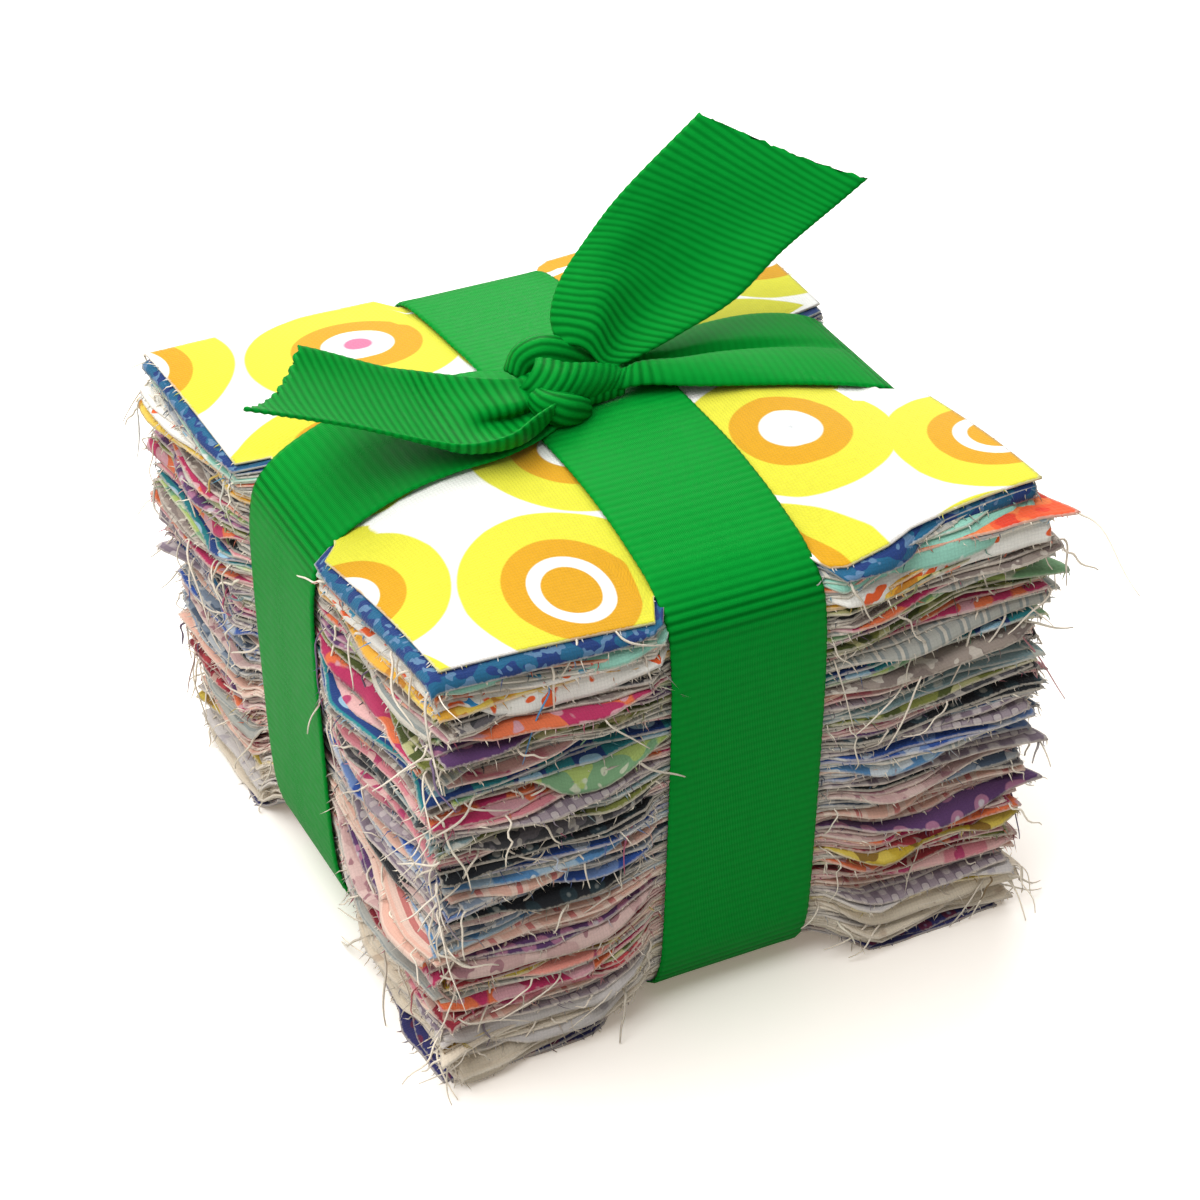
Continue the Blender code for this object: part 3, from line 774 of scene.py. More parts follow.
class Ripple:
    """A smooth unevenness over one side face: a sum of random waves along it and up it."""

    def __init__(self, chance: random.Random, waves: int = 7) -> None:
        """Draws the waves: their counts along the face and from layer to layer, and their phases.

        Args:
            chance: The random source.
            waves: How many waves are added up.
        """
        self.waves = [
            (
                chance.uniform(0.08, 0.32) * chance.choice((-1, 1)),
                chance.uniform(0.08, 0.75) * chance.choice((-1, 1)),
                chance.uniform(0.0, math.tau),
            )
            for _ in range(waves)
        ]

    def read(self, along: np.ndarray, order: float) -> np.ndarray:
        """Returns the unevenness, mostly between -1 and 1."""
        total = sum(np.sin(a * along + b * order + phase) for a, b, phase in self.waves)
        return total / math.sqrt(len(self.waves) / 2) / 1.6


@dataclass
class ClothStack:
    """The 124 squares: where each one lies, how its rims fall and which print it has."""

    shift: np.ndarray
    count: int = 124
    per_solid: int = 4
    thickness: float = 0.25
    seed: int = 27
    inset: float = 0.75
    border: float = HALF_RIBBON + 0.8
    rim_insets: tuple[float, ...] = (0.0, 0.45, 1.2, 2.3, 4.2)
    inner_cells: int = 13
    rim_cuts: int = 2
    drift_most: float = 0.45
    shift_most: float = 0.55
    turn_most_deg: float = 1.1
    bulge: float = 0.75
    fold_radius: float = 0.5
    top_offset: tuple[float, float] = (0.1, 0.45)
    neat_squares: int = 12
    neat_share: float = 0.4
    drift_turns: float = 2.6
    drift_phases: tuple[float, float] = (0.4, 2.1)
    held_squares: int = 9
    flap_fade: float = 5.0
    layer_pitch: float = 0.40
    wavers: tuple[tuple[float, float], ...] = ((0.14, 2.7), (0.09, 1.1))
    flutter: float = 0.08
    rim_fray: float = 0.45
    tip_spread: float = 6.0
    press_depth: float = 9.0
    free_reach: float = 7.0
    levels: tuple[float, ...] = (0.0, 0.25, 0.5, 0.75, 1.0)
    back_left: tuple[float, ...] = (1.2, 0.8, -0.6, -2.0, -2.4)
    front_left: tuple[float, ...] = (1.5, 1.0, 0.9, 1.2, 1.6)
    right: tuple[float, ...] = (-1.3, -0.6, 0.3, 0.9, 0.0)
    corner_tops: dict = field(
        default_factory=lambda: {(-1, -1): 47.9, (-1, 1): 47.8, (1, -1): 50.4, (1, 1): 48.6}
    )

    def __post_init__(self) -> None:
        """Reads the bands, cuts the flat square and draws every random choice in order."""
        dipped = [(along, height - 0.3 * dip) for along, height, _, _, dip in band_b_rows()]
        self.band_a = BandOutline(band_a_outline(), self.inset)
        self.band_b = BandOutline(dipped, self.inset)
        self.chance = random.Random(self.seed)
        self.prints = [name for name, number in ORDER_FROM_TOP for _ in range(number)]
        self.bulges = {side: Ripple(self.chance) for side in Side}
        self.curls = {side: Ripple(self.chance) for side in Side}
        self.flaps = PHOTO_FLAPS + self.random_flaps()
        self.gaps = self.random_gaps()
        self.blank, self.sheet_blank, self.spots, self.pairs = self.cut_square()
        self.places: list[dict] = []

    def random_flaps(self) -> list[Flap]:
        """Draws shorter hanging rims all round the stack.

        Returns:
            The hanging rims.
        """
        flaps = []
        for side in Side:
            for _ in range(30):
                start = self.chance.choice((-36.0, 6.0)) + self.chance.uniform(0.0, 14.0)
                end = start + self.chance.uniform(9.0, 24.0)
                length, angle = self.chance.uniform(0.5, 1.3), self.chance.uniform(40.0, 85.0)
                order = self.chance.randrange(12, self.count - 3)
                flaps.append(Flap(order, side, start, end, length, angle))
        return flaps

    def random_gaps(self) -> np.ndarray:
        """Draws the places where the layers part at the rim.

        Returns:
            Rows of x, y, share of the height, radius and half the opening.
        """
        rows = list(PHOTO_GAPS)
        for _ in range(70):
            along = self.chance.choice((-1, 1)) * self.chance.uniform(11.0, 31.0)
            out = self.chance.choice((-31.0, 31.0))
            place = (along, out) if self.chance.random() < 0.5 else (out, along)
            share, radius = self.chance.uniform(0.05, 0.92), self.chance.uniform(4.0, 9.0)
            rows.append((*place, share, radius, self.chance.uniform(0.1, 0.42)))
        return np.array(rows)

    def cut_square(self) -> tuple[bpy.types.Mesh, bpy.types.Mesh, np.ndarray, np.ndarray]:
        """Cuts the flat square that every sheet starts from, fine along its rims.

        Returns:
            The one-faced mesh, the two-faced one that a sheet needs, each one-faced corner's place
            on the cloth, and for each two-faced corner its one-faced corner and its face.
        """
        rims = np.array(self.rim_insets)
        inner = np.linspace(rims[-1] - HALF_SIDE, HALF_SIDE - rims[-1], self.inner_cells + 1)[1:-1]
        lines = np.concatenate([rims - HALF_SIDE, inner, (HALF_SIDE - rims)[::-1]])
        cells = len(lines) - 1
        body = bmesh.new()
        bmesh.ops.create_grid(body, x_segments=cells, y_segments=cells, size=0.5)
        for corner in body.verts:
            column, row = (round((value + 0.5) * cells) for value in corner.co[:2])
            corner.co = (lines[column], lines[row], 0.0)
        limit = HALF_SIDE - rims[-1] + 0.01
        along_rim = []
        for edge in body.edges:
            first, last = (corner.co for corner in edge.verts)
            middle = (first + last) / 2
            run_x = abs(first.y - last.y) < 1e-4 and abs(middle.y) > limit - 0.02 and abs(middle.x) < limit
            run_y = abs(first.x - last.x) < 1e-4 and abs(middle.x) > limit - 0.02 and abs(middle.y) < limit
            if run_x or run_y:
                along_rim.append(edge)
        bmesh.ops.subdivide_edges(body, edges=along_rim, cuts=self.rim_cuts, use_single_edge=True)
        single = bpy.data.meshes.new("square")
        body.to_mesh(single)
        spots = np.array([corner.co for corner in single.vertices])[:, :2]
        make_two_faced(body)
        double = bpy.data.meshes.new("two-faced square")
        body.to_mesh(double)
        body.free()
        index = {(round(x, 3), round(y, 3)): number for number, (x, y) in enumerate(spots)}
        pairs = [
            (index[(round(corner.co.x, 3), round(corner.co.y, 3))], round(corner.co.z))
            for corner in double.vertices
        ]
        return single, double, spots, np.array(pairs)

    def under(self, x: np.ndarray, y: np.ndarray) -> np.ndarray:
        """Works out the height of the stack's underside, lifted where the bands run under it.

        Args:
            x: Places across the stack.
            y: Places along it.

        Returns:
            The heights.
        """
        near_a = 1.0 - smooth_step(self.border, self.border + 7.0, np.abs(x - BAND_A_CENTRE))
        near_b = 1.0 - smooth_step(self.border, self.border + 7.0, np.abs(y - BAND_B_CENTRE))
        lift_a = self.band_a.height(y, False) * near_a
        lift_b = self.band_b.height(x, False) * near_b
        return np.maximum(lift_a, lift_b)

    def top(self, x: np.ndarray, y: np.ndarray) -> np.ndarray:
        """Works out the height of the stack's top, as a soft patch between the bands.

        Args:
            x: Places across the stack.
            y: Places along it.

        Returns:
            The heights.
        """
        centre = self.band_a.height(np.array(BAND_B_CENTRE), True)
        height_a = self.band_a.height(y, True)
        clear_of_a = smooth_step(self.border, self.border + 9.0, np.abs(x - BAND_A_CENTRE))
        height_b = centre + (self.band_b.height(x, True) - centre) * clear_of_a
        side_x, side_y = np.where(x < 0, -1, 1), np.where(y < 0, -1, 1)
        corner = np.vectorize(lambda a, b: self.corner_tops[(a, b)])(side_x, side_y)
        rim_a = self.band_a.height(side_y * HALF_SIDE, True)
        rim_b = self.band_b.height(side_x * HALF_SIDE, True)
        run = HALF_SIDE - self.border
        u = np.clip((np.abs(x - BAND_A_CENTRE) - self.border) / run, 0.0, 1.0)
        v = np.clip((np.abs(y - BAND_B_CENTRE) - self.border) / run, 0.0, 1.0)
        outer_x = rim_b + (corner - rim_b) * np.sin(v * math.pi / 2)
        outer_y = rim_a + (corner - rim_a) * np.sin(u * math.pi / 2)
        corners = (1 - u) * (1 - v) * centre + u * (1 - v) * rim_b + (1 - u) * v * rim_a + u * v * corner
        patch = (1 - u) * height_a + u * outer_x + (1 - v) * height_b + v * outer_y - corners
        over_b = np.where(np.abs(y - BAND_B_CENTRE) <= self.border, height_b, patch)
        return np.where(np.abs(x - BAND_A_CENTRE) <= self.border, height_a, over_b)

    def height(self, share: float, x: np.ndarray, y: np.ndarray) -> np.ndarray:
        """Works out a sheet's height, with the partings of the layers.

        Args:
            share: The sheet's share of the stack.
            x: Places across the stack.
            y: Places along it.

        Returns:
            The heights.
        """
        x, y = np.clip(x, -HALF_SIDE, HALF_SIDE), np.clip(y, -HALF_SIDE, HALF_SIDE)
        low = self.under(x, y)
        level = low + self.thickness / 2 + share * (self.top(x, y) - self.thickness - low)
        fade, spread = min(1.0, 6.0 * share, 6.0 * (1.0 - share)), 0.08
        for gap_x, gap_y, at, radius, opening in self.gaps:
            near = np.exp(-((x - gap_x) ** 2 + (y - gap_y) ** 2) / radius**2)
            apart = math.copysign(1.0, share - at) * math.exp(-abs(share - at) / spread)
            level = level + near * apart * opening * fade
        return level

    def overhang(self, order: int, side: Side, along: np.ndarray) -> tuple[np.ndarray, ...]:
        """Works out how one rim hangs, and how far the flaps above hold it back.

        Args:
            order: The square's number from the top.
            side: The side face.
            along: Places along the rim.

        Returns:
            The hanging length, the fold's angle in radians, and how far the rim is held back.
        """
        curl = self.curls[side].read(along, order * 2.3)
        loose = min(1.0, order / 3.0)
        length = loose * np.clip(0.25 + 0.5 * curl, 0.0, 0.8)
        angle = np.radians(35.0 + 25.0 * self.curls[side].read(along + 50.0, order * 1.7))
        angle = loose * np.clip(angle, 0.1, 1.3)
        held = np.zeros_like(along)
        for flap in self.flaps:
            if flap.side is not side or not flap.order <= order < flap.order + self.held_squares:
                continue
            window = smooth_step(flap.start, flap.start + self.flap_fade, along)
            window = window * (1.0 - smooth_step(flap.end - self.flap_fade, flap.end, along))
            covered = 1 + round(flap.length / self.layer_pitch)
            if flap.order == order:
                length = length * (1 - window) + flap.length * window
                angle = angle * (1 - window) + math.radians(flap.angle) * window
            elif order <= flap.order + covered:
                held = np.maximum(held, window)
                length = length * (1 - 0.8 * window)
        return length, angle, held

    def square_points(self, index: int) -> np.ndarray:
        """Works out the middle surface of one square.

        Args:
            index: The square's number from the bottom.

        Returns:
            A place in millimetres for each corner of the one-faced square.
        """
        share = index / (self.count - 1)
        order = self.count - 1 - index
        turn, offset = self.draw_place(share, order)
        phases = [self.chance.uniform(0.0, math.tau) for _ in range(8)]
        u, v = self.spots[:, 0], self.spots[:, 1]
        plane = (
            u * math.cos(turn) - v * math.sin(turn) + offset[0],
            u * math.sin(turn) + v * math.cos(turn) + offset[1],
        )
        leaning = (self.lean(share, u, v), np.zeros_like(u))
        level = self.height(share, *plane)
        moved, fall = list(leaning), np.zeros_like(u)
        for number, side in enumerate(Side):
            axis, direction = side.value
            beside = np.abs(plane[1 - axis] - band_centre(axis))
            waver = phases[2 * number : 2 * number + 2]
            at_rim = offset[axis] + leaning[axis]
            outward, drop = self.rim_shape(order, side, beside, level, at_rim, waver)
            moved[axis] = moved[axis] + direction * outward
            fall = fall + drop
        for tip in PHOTO_TIPS:
            if tip.order == order:
                from_tip = (u - tip.x * HALF_SIDE) ** 2 + (v - tip.y * HALF_SIDE) ** 2
                near = np.exp(-from_tip / self.tip_spread)
                moved[0] = moved[0] + tip.x * tip.out * near
                moved[1] = moved[1] + tip.y * tip.out * near * 0.5
                fall = fall - tip.rise * near
        swell = self.flutter * min(1.0, order / 3.0)
        flutter = swell * np.sin(u / 3.3 + phases[0]) * np.sin(v / 3.9 + phases[1])
        rim = np.minimum(HALF_SIDE - np.abs(u), HALF_SIDE - np.abs(v))
        x, y = plane[0] + moved[0], plane[1] + moved[1]
        level = self.height(share, x, y) + flutter * (1.0 - smooth_step(0.0, 5.0, rim)) - fall
        return np.stack([x, y, np.maximum(level, self.thickness / 2)], axis=-1)

    def draw_place(self, share: float, order: int) -> tuple[float, tuple[float, float]]:
        """Draws how one square is turned and shifted. The upper ones lie neater.

        Args:
            share: The square's share of the stack.
            order: The square's number from the top.

        Returns:
            The turn in radians, and the shift across and along.
        """
        even = self.neat_share if order < self.neat_squares else 1.0
        turn = even * math.radians(self.chance.uniform(-self.turn_most_deg, self.turn_most_deg))
        across, along = (
            self.drift_most * math.sin(math.tau * self.drift_turns * share + phase)
            + even * self.chance.uniform(-self.shift_most, self.shift_most)
            for phase in self.drift_phases
        )
        return (0.0, self.top_offset) if order == 0 else (turn, (across, along))

    def rim_shape(
        self,
        order: int,
        side: Side,
        beside: np.ndarray,
        level: np.ndarray,
        at_rim: np.ndarray,
        waver: list[float],
    ) -> tuple[np.ndarray, np.ndarray]:
        """Works out how one rim of a square stands out, hangs and is pressed in by the band.

        Args:
            order: The square's number from the top.
            side: The side face.
            beside: Distances from the middle of the band that crosses that face.
            level: The square's heights.
            at_rim: How far the square is moved towards positive values.
            waver: The phases of the rim's two small waves.

        Returns:
            How far outward and how far down each point moves.
        """
        axis, direction = side.value
        inset = HALF_SIDE - direction * self.spots[:, axis]
        along = self.spots[:, 1 - axis]
        clear = smooth_step(HALF_RIBBON - 1.5, HALF_RIBBON + 8.0, beside)
        length, angle, held = self.overhang(order, side, along)
        length = length * clear
        calm = min(1.0, order / 4.0)
        wave = sum(size * np.sin(along / run + phase) for (size, run), phase in zip(self.wavers, waver))
        bulge = self.bulge * calm * self.bulges[side].read(along, order) * clear
        out = 0.6 * length + np.minimum(length, 1.0) * 0.3 + bulge + wave * calm - 0.7 * held * clear
        past = np.maximum(length - inset, 0.0)
        forward, drop = self.bend(past, angle)
        rim = HALF_SIDE + direction * at_rim + out - length + self.bend(length, angle)[0]
        ease = float(np.interp(order, (5.0, 20.0), (1.6, 9.0)))
        band = self.band_b if axis == 0 else self.band_a
        free = self.free_reach * smooth_step(HALF_RIBBON + 0.3, HALF_RIBBON + ease, beside)
        pressed = np.maximum(rim - band.reach(level, direction) - free, 0.0)
        pressed = pressed * (1.0 - smooth_step(0.0, self.press_depth, inset))
        ramp = 1.0 - smooth_step(6.0, 20.0, inset)
        return out * ramp - past + forward - pressed, drop

    def lean(self, share: float, u: np.ndarray, v: np.ndarray) -> np.ndarray:
        """Works out how far the stack's two ends lean out of square, as in the photo.

        Args:
            share: The square's share of the stack.
            u: Places across the square.
            v: Places along it.

        Returns:
            The sideways move.
        """
        back = v / SQUARE_SIDE + 0.5
        tables = (self.back_left, self.front_left, self.right)
        back_left, front_left, right = (float(np.interp(share, self.levels, table)) for table in tables)
        left = front_left * (1.0 - back) + back_left * back
        return left * smooth_step(6.0, 30.0, -u) + right * smooth_step(6.0, 30.0, u)

    def bend(self, past: np.ndarray, angle: np.ndarray) -> tuple[np.ndarray, np.ndarray]:
        """Rolls a stretch of rim over the fold.

        Args:
            past: How far each point lies past the fold's start.
            angle: The fold's whole angle in radians.

        Returns:
            How far forward and how far down the points come to lie.
        """
        curved = np.minimum(past, self.fold_radius * np.maximum(angle, 1e-4))
        straight = past - curved
        turned = curved / self.fold_radius
        forward = self.fold_radius * np.sin(turned) + straight * np.cos(turned)
        return forward, self.fold_radius * (1.0 - np.cos(turned)) + straight * np.sin(turned)

    def dress_blank(self) -> None:
        """Gives the two-faced square its rim, its reverse and its places on the cloth."""
        u, v = self.spots[self.pairs[:, 0]].T
        inset = np.minimum(HALF_SIDE - np.abs(u), HALF_SIDE - np.abs(v))
        bare = np.clip(1.0 - inset / self.rim_fray, 0.0, 1.0)
        for name, values in (("rim", bare), ("reverse", 1.0 - self.pairs[:, 1])):
            item = self.sheet_blank.attributes.new(name, "FLOAT", "POINT")
            item.data.foreach_set("value", values.astype(np.float32))
        self.sheet_blank.attributes.new("cut", "FLOAT_VECTOR", "POINT")

    def build(self, finishes: dict[str, bpy.types.Material]) -> list[bpy.types.Object]:
        """Builds every square from the bottom up.

        Args:
            finishes: The prints' materials by name.

        Returns:
            The squares.
        """
        self.dress_blank()
        pieces = []
        for index in range(self.count):
            middle = self.square_points(index)
            self.blank.vertices.foreach_set("co", middle.astype(np.float32).ravel())
            self.blank.update()
            normal = np.array([item.vector for item in self.blank.vertex_normals])
            self.places.append({"middle": middle, "print": self.print_of(index)})
            chosen, face = self.pairs[:, 0], self.pairs[:, 1]
            lift = (face - 0.5) * self.thickness
            placed = points_to_frame(middle[chosen] + normal[chosen] * lift[:, None], self.shift)
            mesh = self.sheet_blank.copy()
            mesh.vertices.foreach_set("co", placed.astype(np.float32).ravel())
            slide = np.array([self.chance.uniform(-30, 30), self.chance.uniform(-30, 30)])
            if index == self.count - 1:
                slide[:] = 0.0
            cut = np.concatenate([self.spots[chosen] + slide, np.zeros((len(chosen), 1))], axis=1)
            mesh.attributes["cut"].data.foreach_set("vector", cut.astype(np.float32).ravel())
            mesh.update()
            pieces.append(self.declare(index, mesh, finishes))
        bpy.data.meshes.remove(self.blank)
        bpy.data.meshes.remove(self.sheet_blank)
        return pieces

    def print_of(self, index: int) -> str:
        """Returns the name of one square's print."""
        return self.prints[self.count - 1 - index]

    def rim_chain(self, side: Side) -> tuple[np.ndarray, np.ndarray]:
        """Finds one rim's corners in order along it.

        Args:
            side: The side face.

        Returns:
            The rim's corners, and for each the corner one step further in.
        """
        axis, direction = side.value
        outer, along = self.spots[:, axis] * direction, self.spots[:, 1 - axis]
        chains = []
        for inset in self.rim_insets[:2]:
            kept = np.flatnonzero(np.abs(outer - (HALF_SIDE - inset)) < 0.01)
            chains.append(kept[np.argsort(along[kept])])
        return chains[0], chains[1]

    def declare(
        self, index: int, mesh: bpy.types.Mesh, finishes: dict[str, bpy.types.Material]
    ) -> bpy.types.Object:
        """Makes one square a piece and hides the solid square of the imported model that it and its
        neighbours stand in for.

        Args:
            index: The square's number from the bottom.
            mesh: Its finished mesh.
            finishes: The prints' materials by name.

        Returns:
            The square's object.
        """
        name = f"cotton_square_{index + 1:03d}"
        piece = add_piece(name, mesh, finishes[self.print_of(index)])
        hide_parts(f"square_{index // self.per_solid + 1:02d}")
        return piece


@dataclass
class Threads:
    """Loose threads that one mesh joins: lines of four points, radii, colours and wavers.

    A waver is its size in millimetres, its number of swings and its phase.
    """

    lines: list = field(default_factory=list)
    radii: list = field(default_factory=list)
    colours: list = field(default_factory=list)
    wavers: list = field(default_factory=list)

    def add(self, line: tuple, radius: float, colour: tuple, waver: tuple) -> None:
        """Adds one thread.

        Args:
            line: Its four control points in millimetres.
            radius: Its radius in millimetres.
            colour: Its colour.
            waver: How it wavers.
        """
        self.lines.append(line)
        self.radii.append(radius)
        self.colours.append(colour)
        self.wavers.append(waver)


@dataclass
class ThreadMaker:
    """Makes many thin threads as one joined mesh from one short modelled thread."""

    shift: np.ndarray
    rings: int
    sides: int = 3
    tip: float = 0.0
    across_hint: tuple[float, float, float] = (0.12, 0.21, 0.97)

    def template(self) -> tuple[np.ndarray, list[tuple[int, ...]]]:
        """Models one straight thread: a slim cone with rings along it.

        Returns:
            Its corners (x and y across, z from 0 to 1 along it) and its faces.
        """
        body = bmesh.new()
        bmesh.ops.create_cone(
            body, cap_ends=True, segments=self.sides, radius1=1.0, radius2=max(self.tip, 1e-4), depth=1.0
        )
        long_edges = [edge for edge in body.edges if abs(edge.verts[0].co.z - edge.verts[1].co.z) > 0.5]
        bmesh.ops.subdivide_edges(body, edges=long_edges, cuts=self.rings)
        bmesh.ops.translate(body, vec=(0.0, 0.0, 0.5), verts=body.verts[:])
        for corner in body.verts:
            across = math.hypot(corner.co.x, corner.co.y)
            if 0.01 < corner.co.z < 0.99:
                wanted = 1.0 - (1.0 - self.tip) * corner.co.z**3
                corner.co.x *= wanted / across
                corner.co.y *= wanted / across
        bmesh.ops.remove_doubles(body, verts=body.verts[:], dist=0.001)
        body.verts.index_update()
        corners = np.array([corner.co for corner in body.verts])
        faces = [tuple(corner.index for corner in face.verts) for face in body.faces]
        body.free()
        return corners, faces

    def joined(self, name: str, threads: Threads) -> bpy.types.Mesh:
        """Bends a copy of the thread along every line and joins them.

        Args:
            name: The mesh's name.
            threads: The threads to lay.

        Returns:
            The joined mesh in metres.
        """
        lines, radii = np.array(threads.lines), np.array(threads.radii)
        colours, wavers = np.array(threads.colours), np.array(threads.wavers)
        corners, faces = self.template()
        number, size = len(lines), len(corners)
        t = corners[:, 2][None, :, None]
        a, b, c, d = (lines[:, index][:, None, :] for index in range(4))
        centre = a * (1 - t) ** 3 + 3 * b * t * (1 - t) ** 2 + 3 * c * t**2 * (1 - t) + d * t**3
        run = 3 * (b - a) * (1 - t) ** 2 + 6 * (c - b) * t * (1 - t) + 3 * (d - c) * t**2
        run /= np.maximum(np.linalg.norm(run, axis=-1, keepdims=True), 1e-9)
        side = np.cross(run, np.array(self.across_hint))
        side /= np.maximum(np.linalg.norm(side, axis=-1, keepdims=True), 1e-6)
        over = np.cross(side, run)
        amount, swings, phase = (wavers[:, index][:, None, None] for index in range(3))
        angle = math.tau * swings * t + phase
        fade = np.minimum(1.0, 4.0 * t)
        centre = centre + fade * amount * (side * np.sin(angle) + over * np.cos(1.3 * angle))
        round_it = side * corners[None, :, 0:1] + over * corners[None, :, 1:2]
        spots = centre + round_it * radii[:, None, None]
        spots[..., 2] = np.maximum(spots[..., 2], 0.02)
        placed = points_to_frame(spots, self.shift).reshape(-1, 3)
        all_faces = []
        for index in range(number):
            start = index * size
            all_faces.extend(tuple(start + corner for corner in face) for face in faces)
        mesh = bpy.data.meshes.new(name)
        mesh.from_pydata(placed.tolist(), [], all_faces)
        tint = mesh.attributes.new("thread_tint", "FLOAT_COLOR", "POINT")
        spread = np.repeat(np.concatenate([colours, np.ones((number, 1))], axis=1), size, axis=0)
        tint.data.foreach_set("color", spread.astype(np.float32).ravel())
        mesh.update()
        return mesh


@dataclass(frozen=True)
class ThreadFinish:
    """Loose cotton thread, tinted thread by thread."""

    name: str = "loose cotton thread"
    roughness: float = 0.8
    twist_scale: float = 2500.0

    def build(self) -> bpy.types.Material:
        """Builds the material.

        Returns:
            The finished material.
        """
        material, bench, shader = start_material(self.name)
        place = bench.add("ShaderNodeTexCoord").outputs["Object"]
        shade = bench.mix(bench.noise(place, self.twist_scale, 2.0), grey(0.82), grey(1.08))
        tint = bench.attribute("thread_tint", "Color")
        bench.feed(shader.inputs["Base Color"], bench.mix(1.0, tint, shade, "MULTIPLY"))
        bench.feed_all(shader, {"Roughness": self.roughness, "Sheen Weight": 0.1})
        return material


@dataclass
class RawEdges:
    """The frayed thread ends along every rim, and the long stray threads that hang from them."""

    stack: ClothStack
    seed: int = 5
    ends_per_side: int = 56
    strays_per_side: int = 110
    corner_strays: int = 24
    cream: tuple[float, float, float] = (0.86, 0.77, 0.64)
    brightest: float = 0.92
    bare_ends: float = 0.50
    bare_strays: float = 0.85
    long_share: float = 0.22

    def tint(self, chance: random.Random, name: str, bare: float) -> tuple[float, ...]:
        """Picks one thread's colour.

        Args:
            chance: The random source.
            name: The square's print.
            bare: How often a thread is undyed.

        Returns:
            The colour.
        """
        shade = chance.uniform(0.78, 1.10)
        if chance.random() < bare:
            return tuple(min(self.brightest, value * shade) for value in self.cream)
        finish = PRINTS[name]
        colour = chance.choice((finish.ground, finish.ground, finish.ink_a, finish.ink_b))
        return tuple(min(self.brightest, (value * 0.8 + 0.06) * shade) for value in colour)

    def build_ends(self, side: Side, material: bpy.types.Material) -> bpy.types.Object:
        """Builds the short thread ends of one side face.

        Args:
            side: The side face.
            material: The thread's finish.

        Returns:
            The joined thread ends.
        """
        axis = side.value[0]
        chance = random.Random(f"{self.seed} {side.name}")
        rim, inner = self.stack.rim_chain(side)
        threads = Threads()
        for place in self.stack.places:
            points, outs = place["middle"][rim], place["middle"][rim] - place["middle"][inner]
            for _ in range(self.ends_per_side):
                spot = chance.uniform(0.0, len(points) - 1.001)
                index, share = int(spot), spot % 1.0
                root = points[index] * (1 - share) + points[index + 1] * share
                out = outs[index] / max(float(np.linalg.norm(outs[index])), 1e-6)
                if abs(root[1 - axis] - band_centre(axis)) < HALF_RIBBON + 0.3:
                    continue
                length = min(2.0, chance.lognormvariate(-0.8, 0.55))
                sway = np.array([chance.gauss(0, 0.55), chance.gauss(0, 0.55), chance.gauss(-0.3, 0.35)])
                aim = out + sway
                aim /= np.linalg.norm(aim)
                curl = np.array([chance.gauss(0, 0.3), chance.gauss(0, 0.3), chance.gauss(-0.25, 0.2)])
                start = root - out * 0.15
                end = start + aim * length + curl * length
                line = (start, start + aim * length * 0.4, start + aim * length * 0.8, end)
                radius = chance.uniform(0.05, 0.09)
                threads.add(line, radius, self.tint(chance, place["print"], self.bare_ends), (0.0, 0.0, 0.0))
        mesh = ThreadMaker(self.stack.shift, 1).joined(f"ends_{side.name.lower()}", threads)
        return add_piece(f"frayed_ends_{side.name.lower()}", mesh, material)

    def build_strays(self, material: bpy.types.Material) -> bpy.types.Object:
        """Builds the long loose threads that have pulled out of the cut edges.

        Args:
            material: The thread's finish.

        Returns:
            The joined threads.
        """
        chance = random.Random(self.seed)
        threads = Threads()
        for side in Side:
            axis, direction = side.value
            rim, inner = self.stack.rim_chain(side)
            outward, sideways = np.zeros(3), np.zeros(3)
            outward[axis], sideways[1 - axis] = direction, 1.0
            for number in range(self.strays_per_side + self.corner_strays):
                place = self.stack.places[chance.randrange(6, len(self.stack.places))]
                points = place["middle"][rim]
                if number >= self.strays_per_side:
                    index = chance.choice((0, 1, 2, 3, -4, -3, -2, -1))
                else:
                    index = chance.randrange(len(points))
                root = points[index]
                out = root - place["middle"][inner][min(max(index, -len(inner)), len(inner) - 1)]
                out = outward + 0.6 * out / max(float(np.linalg.norm(out)), 1e-6)
                out /= np.linalg.norm(out)
                if abs(root[1 - axis] - band_centre(axis)) < HALF_RIBBON + 0.5:
                    continue
                line = self.stray_line(chance, root, out, outward, sideways)
                radius = chance.uniform(0.085, 0.145)
                tint = self.tint(chance, place["print"], self.bare_strays)
                waver = (chance.uniform(0.05, 0.3), chance.uniform(0.5, 1.6), chance.uniform(0.0, 6.0))
                threads.add(line, radius, tint, waver)
        mesh = ThreadMaker(self.stack.shift, 11, 4, 0.5).joined("strays", threads)
        return add_piece("stray_threads", mesh, material)

    def stray_line(
        self,
        chance: random.Random,
        root: np.ndarray,
        out: np.ndarray,
        outward: np.ndarray,
        sideways: np.ndarray,
    ) -> tuple[np.ndarray, ...]:
        """Draws the line of one stray thread, out of its rim and then down.

        Args:
            chance: The random source.
            root: Where it leaves the cloth.
            out: The direction that it leaves in.
            outward: The side face's direction.
            sideways: The direction along the side face.

        Returns:
            Its four control points.
        """
        long_one = chance.random() < self.long_share
        length = chance.uniform(6.0, 9.5) if long_one else chance.uniform(2.2, 6.0)
        lean = sideways * chance.gauss(0.0, 0.9)
        fall = lean + np.array([0.0, 0.0, -chance.uniform(0.35, 1.1)])
        fall = fall / np.linalg.norm(fall) * length
        first = root + out * chance.uniform(0.4, 1.3)
        second = first + fall * 0.5 + outward * chance.uniform(-0.1, 0.5)
        tip = first + fall + outward * chance.uniform(-0.6, 0.5) + lean * chance.uniform(-1.0, 1.5)
        second[2], tip[2] = max(second[2], 0.3), max(tip[2], 0.2)
        return root - out * 0.2, first, second, tip


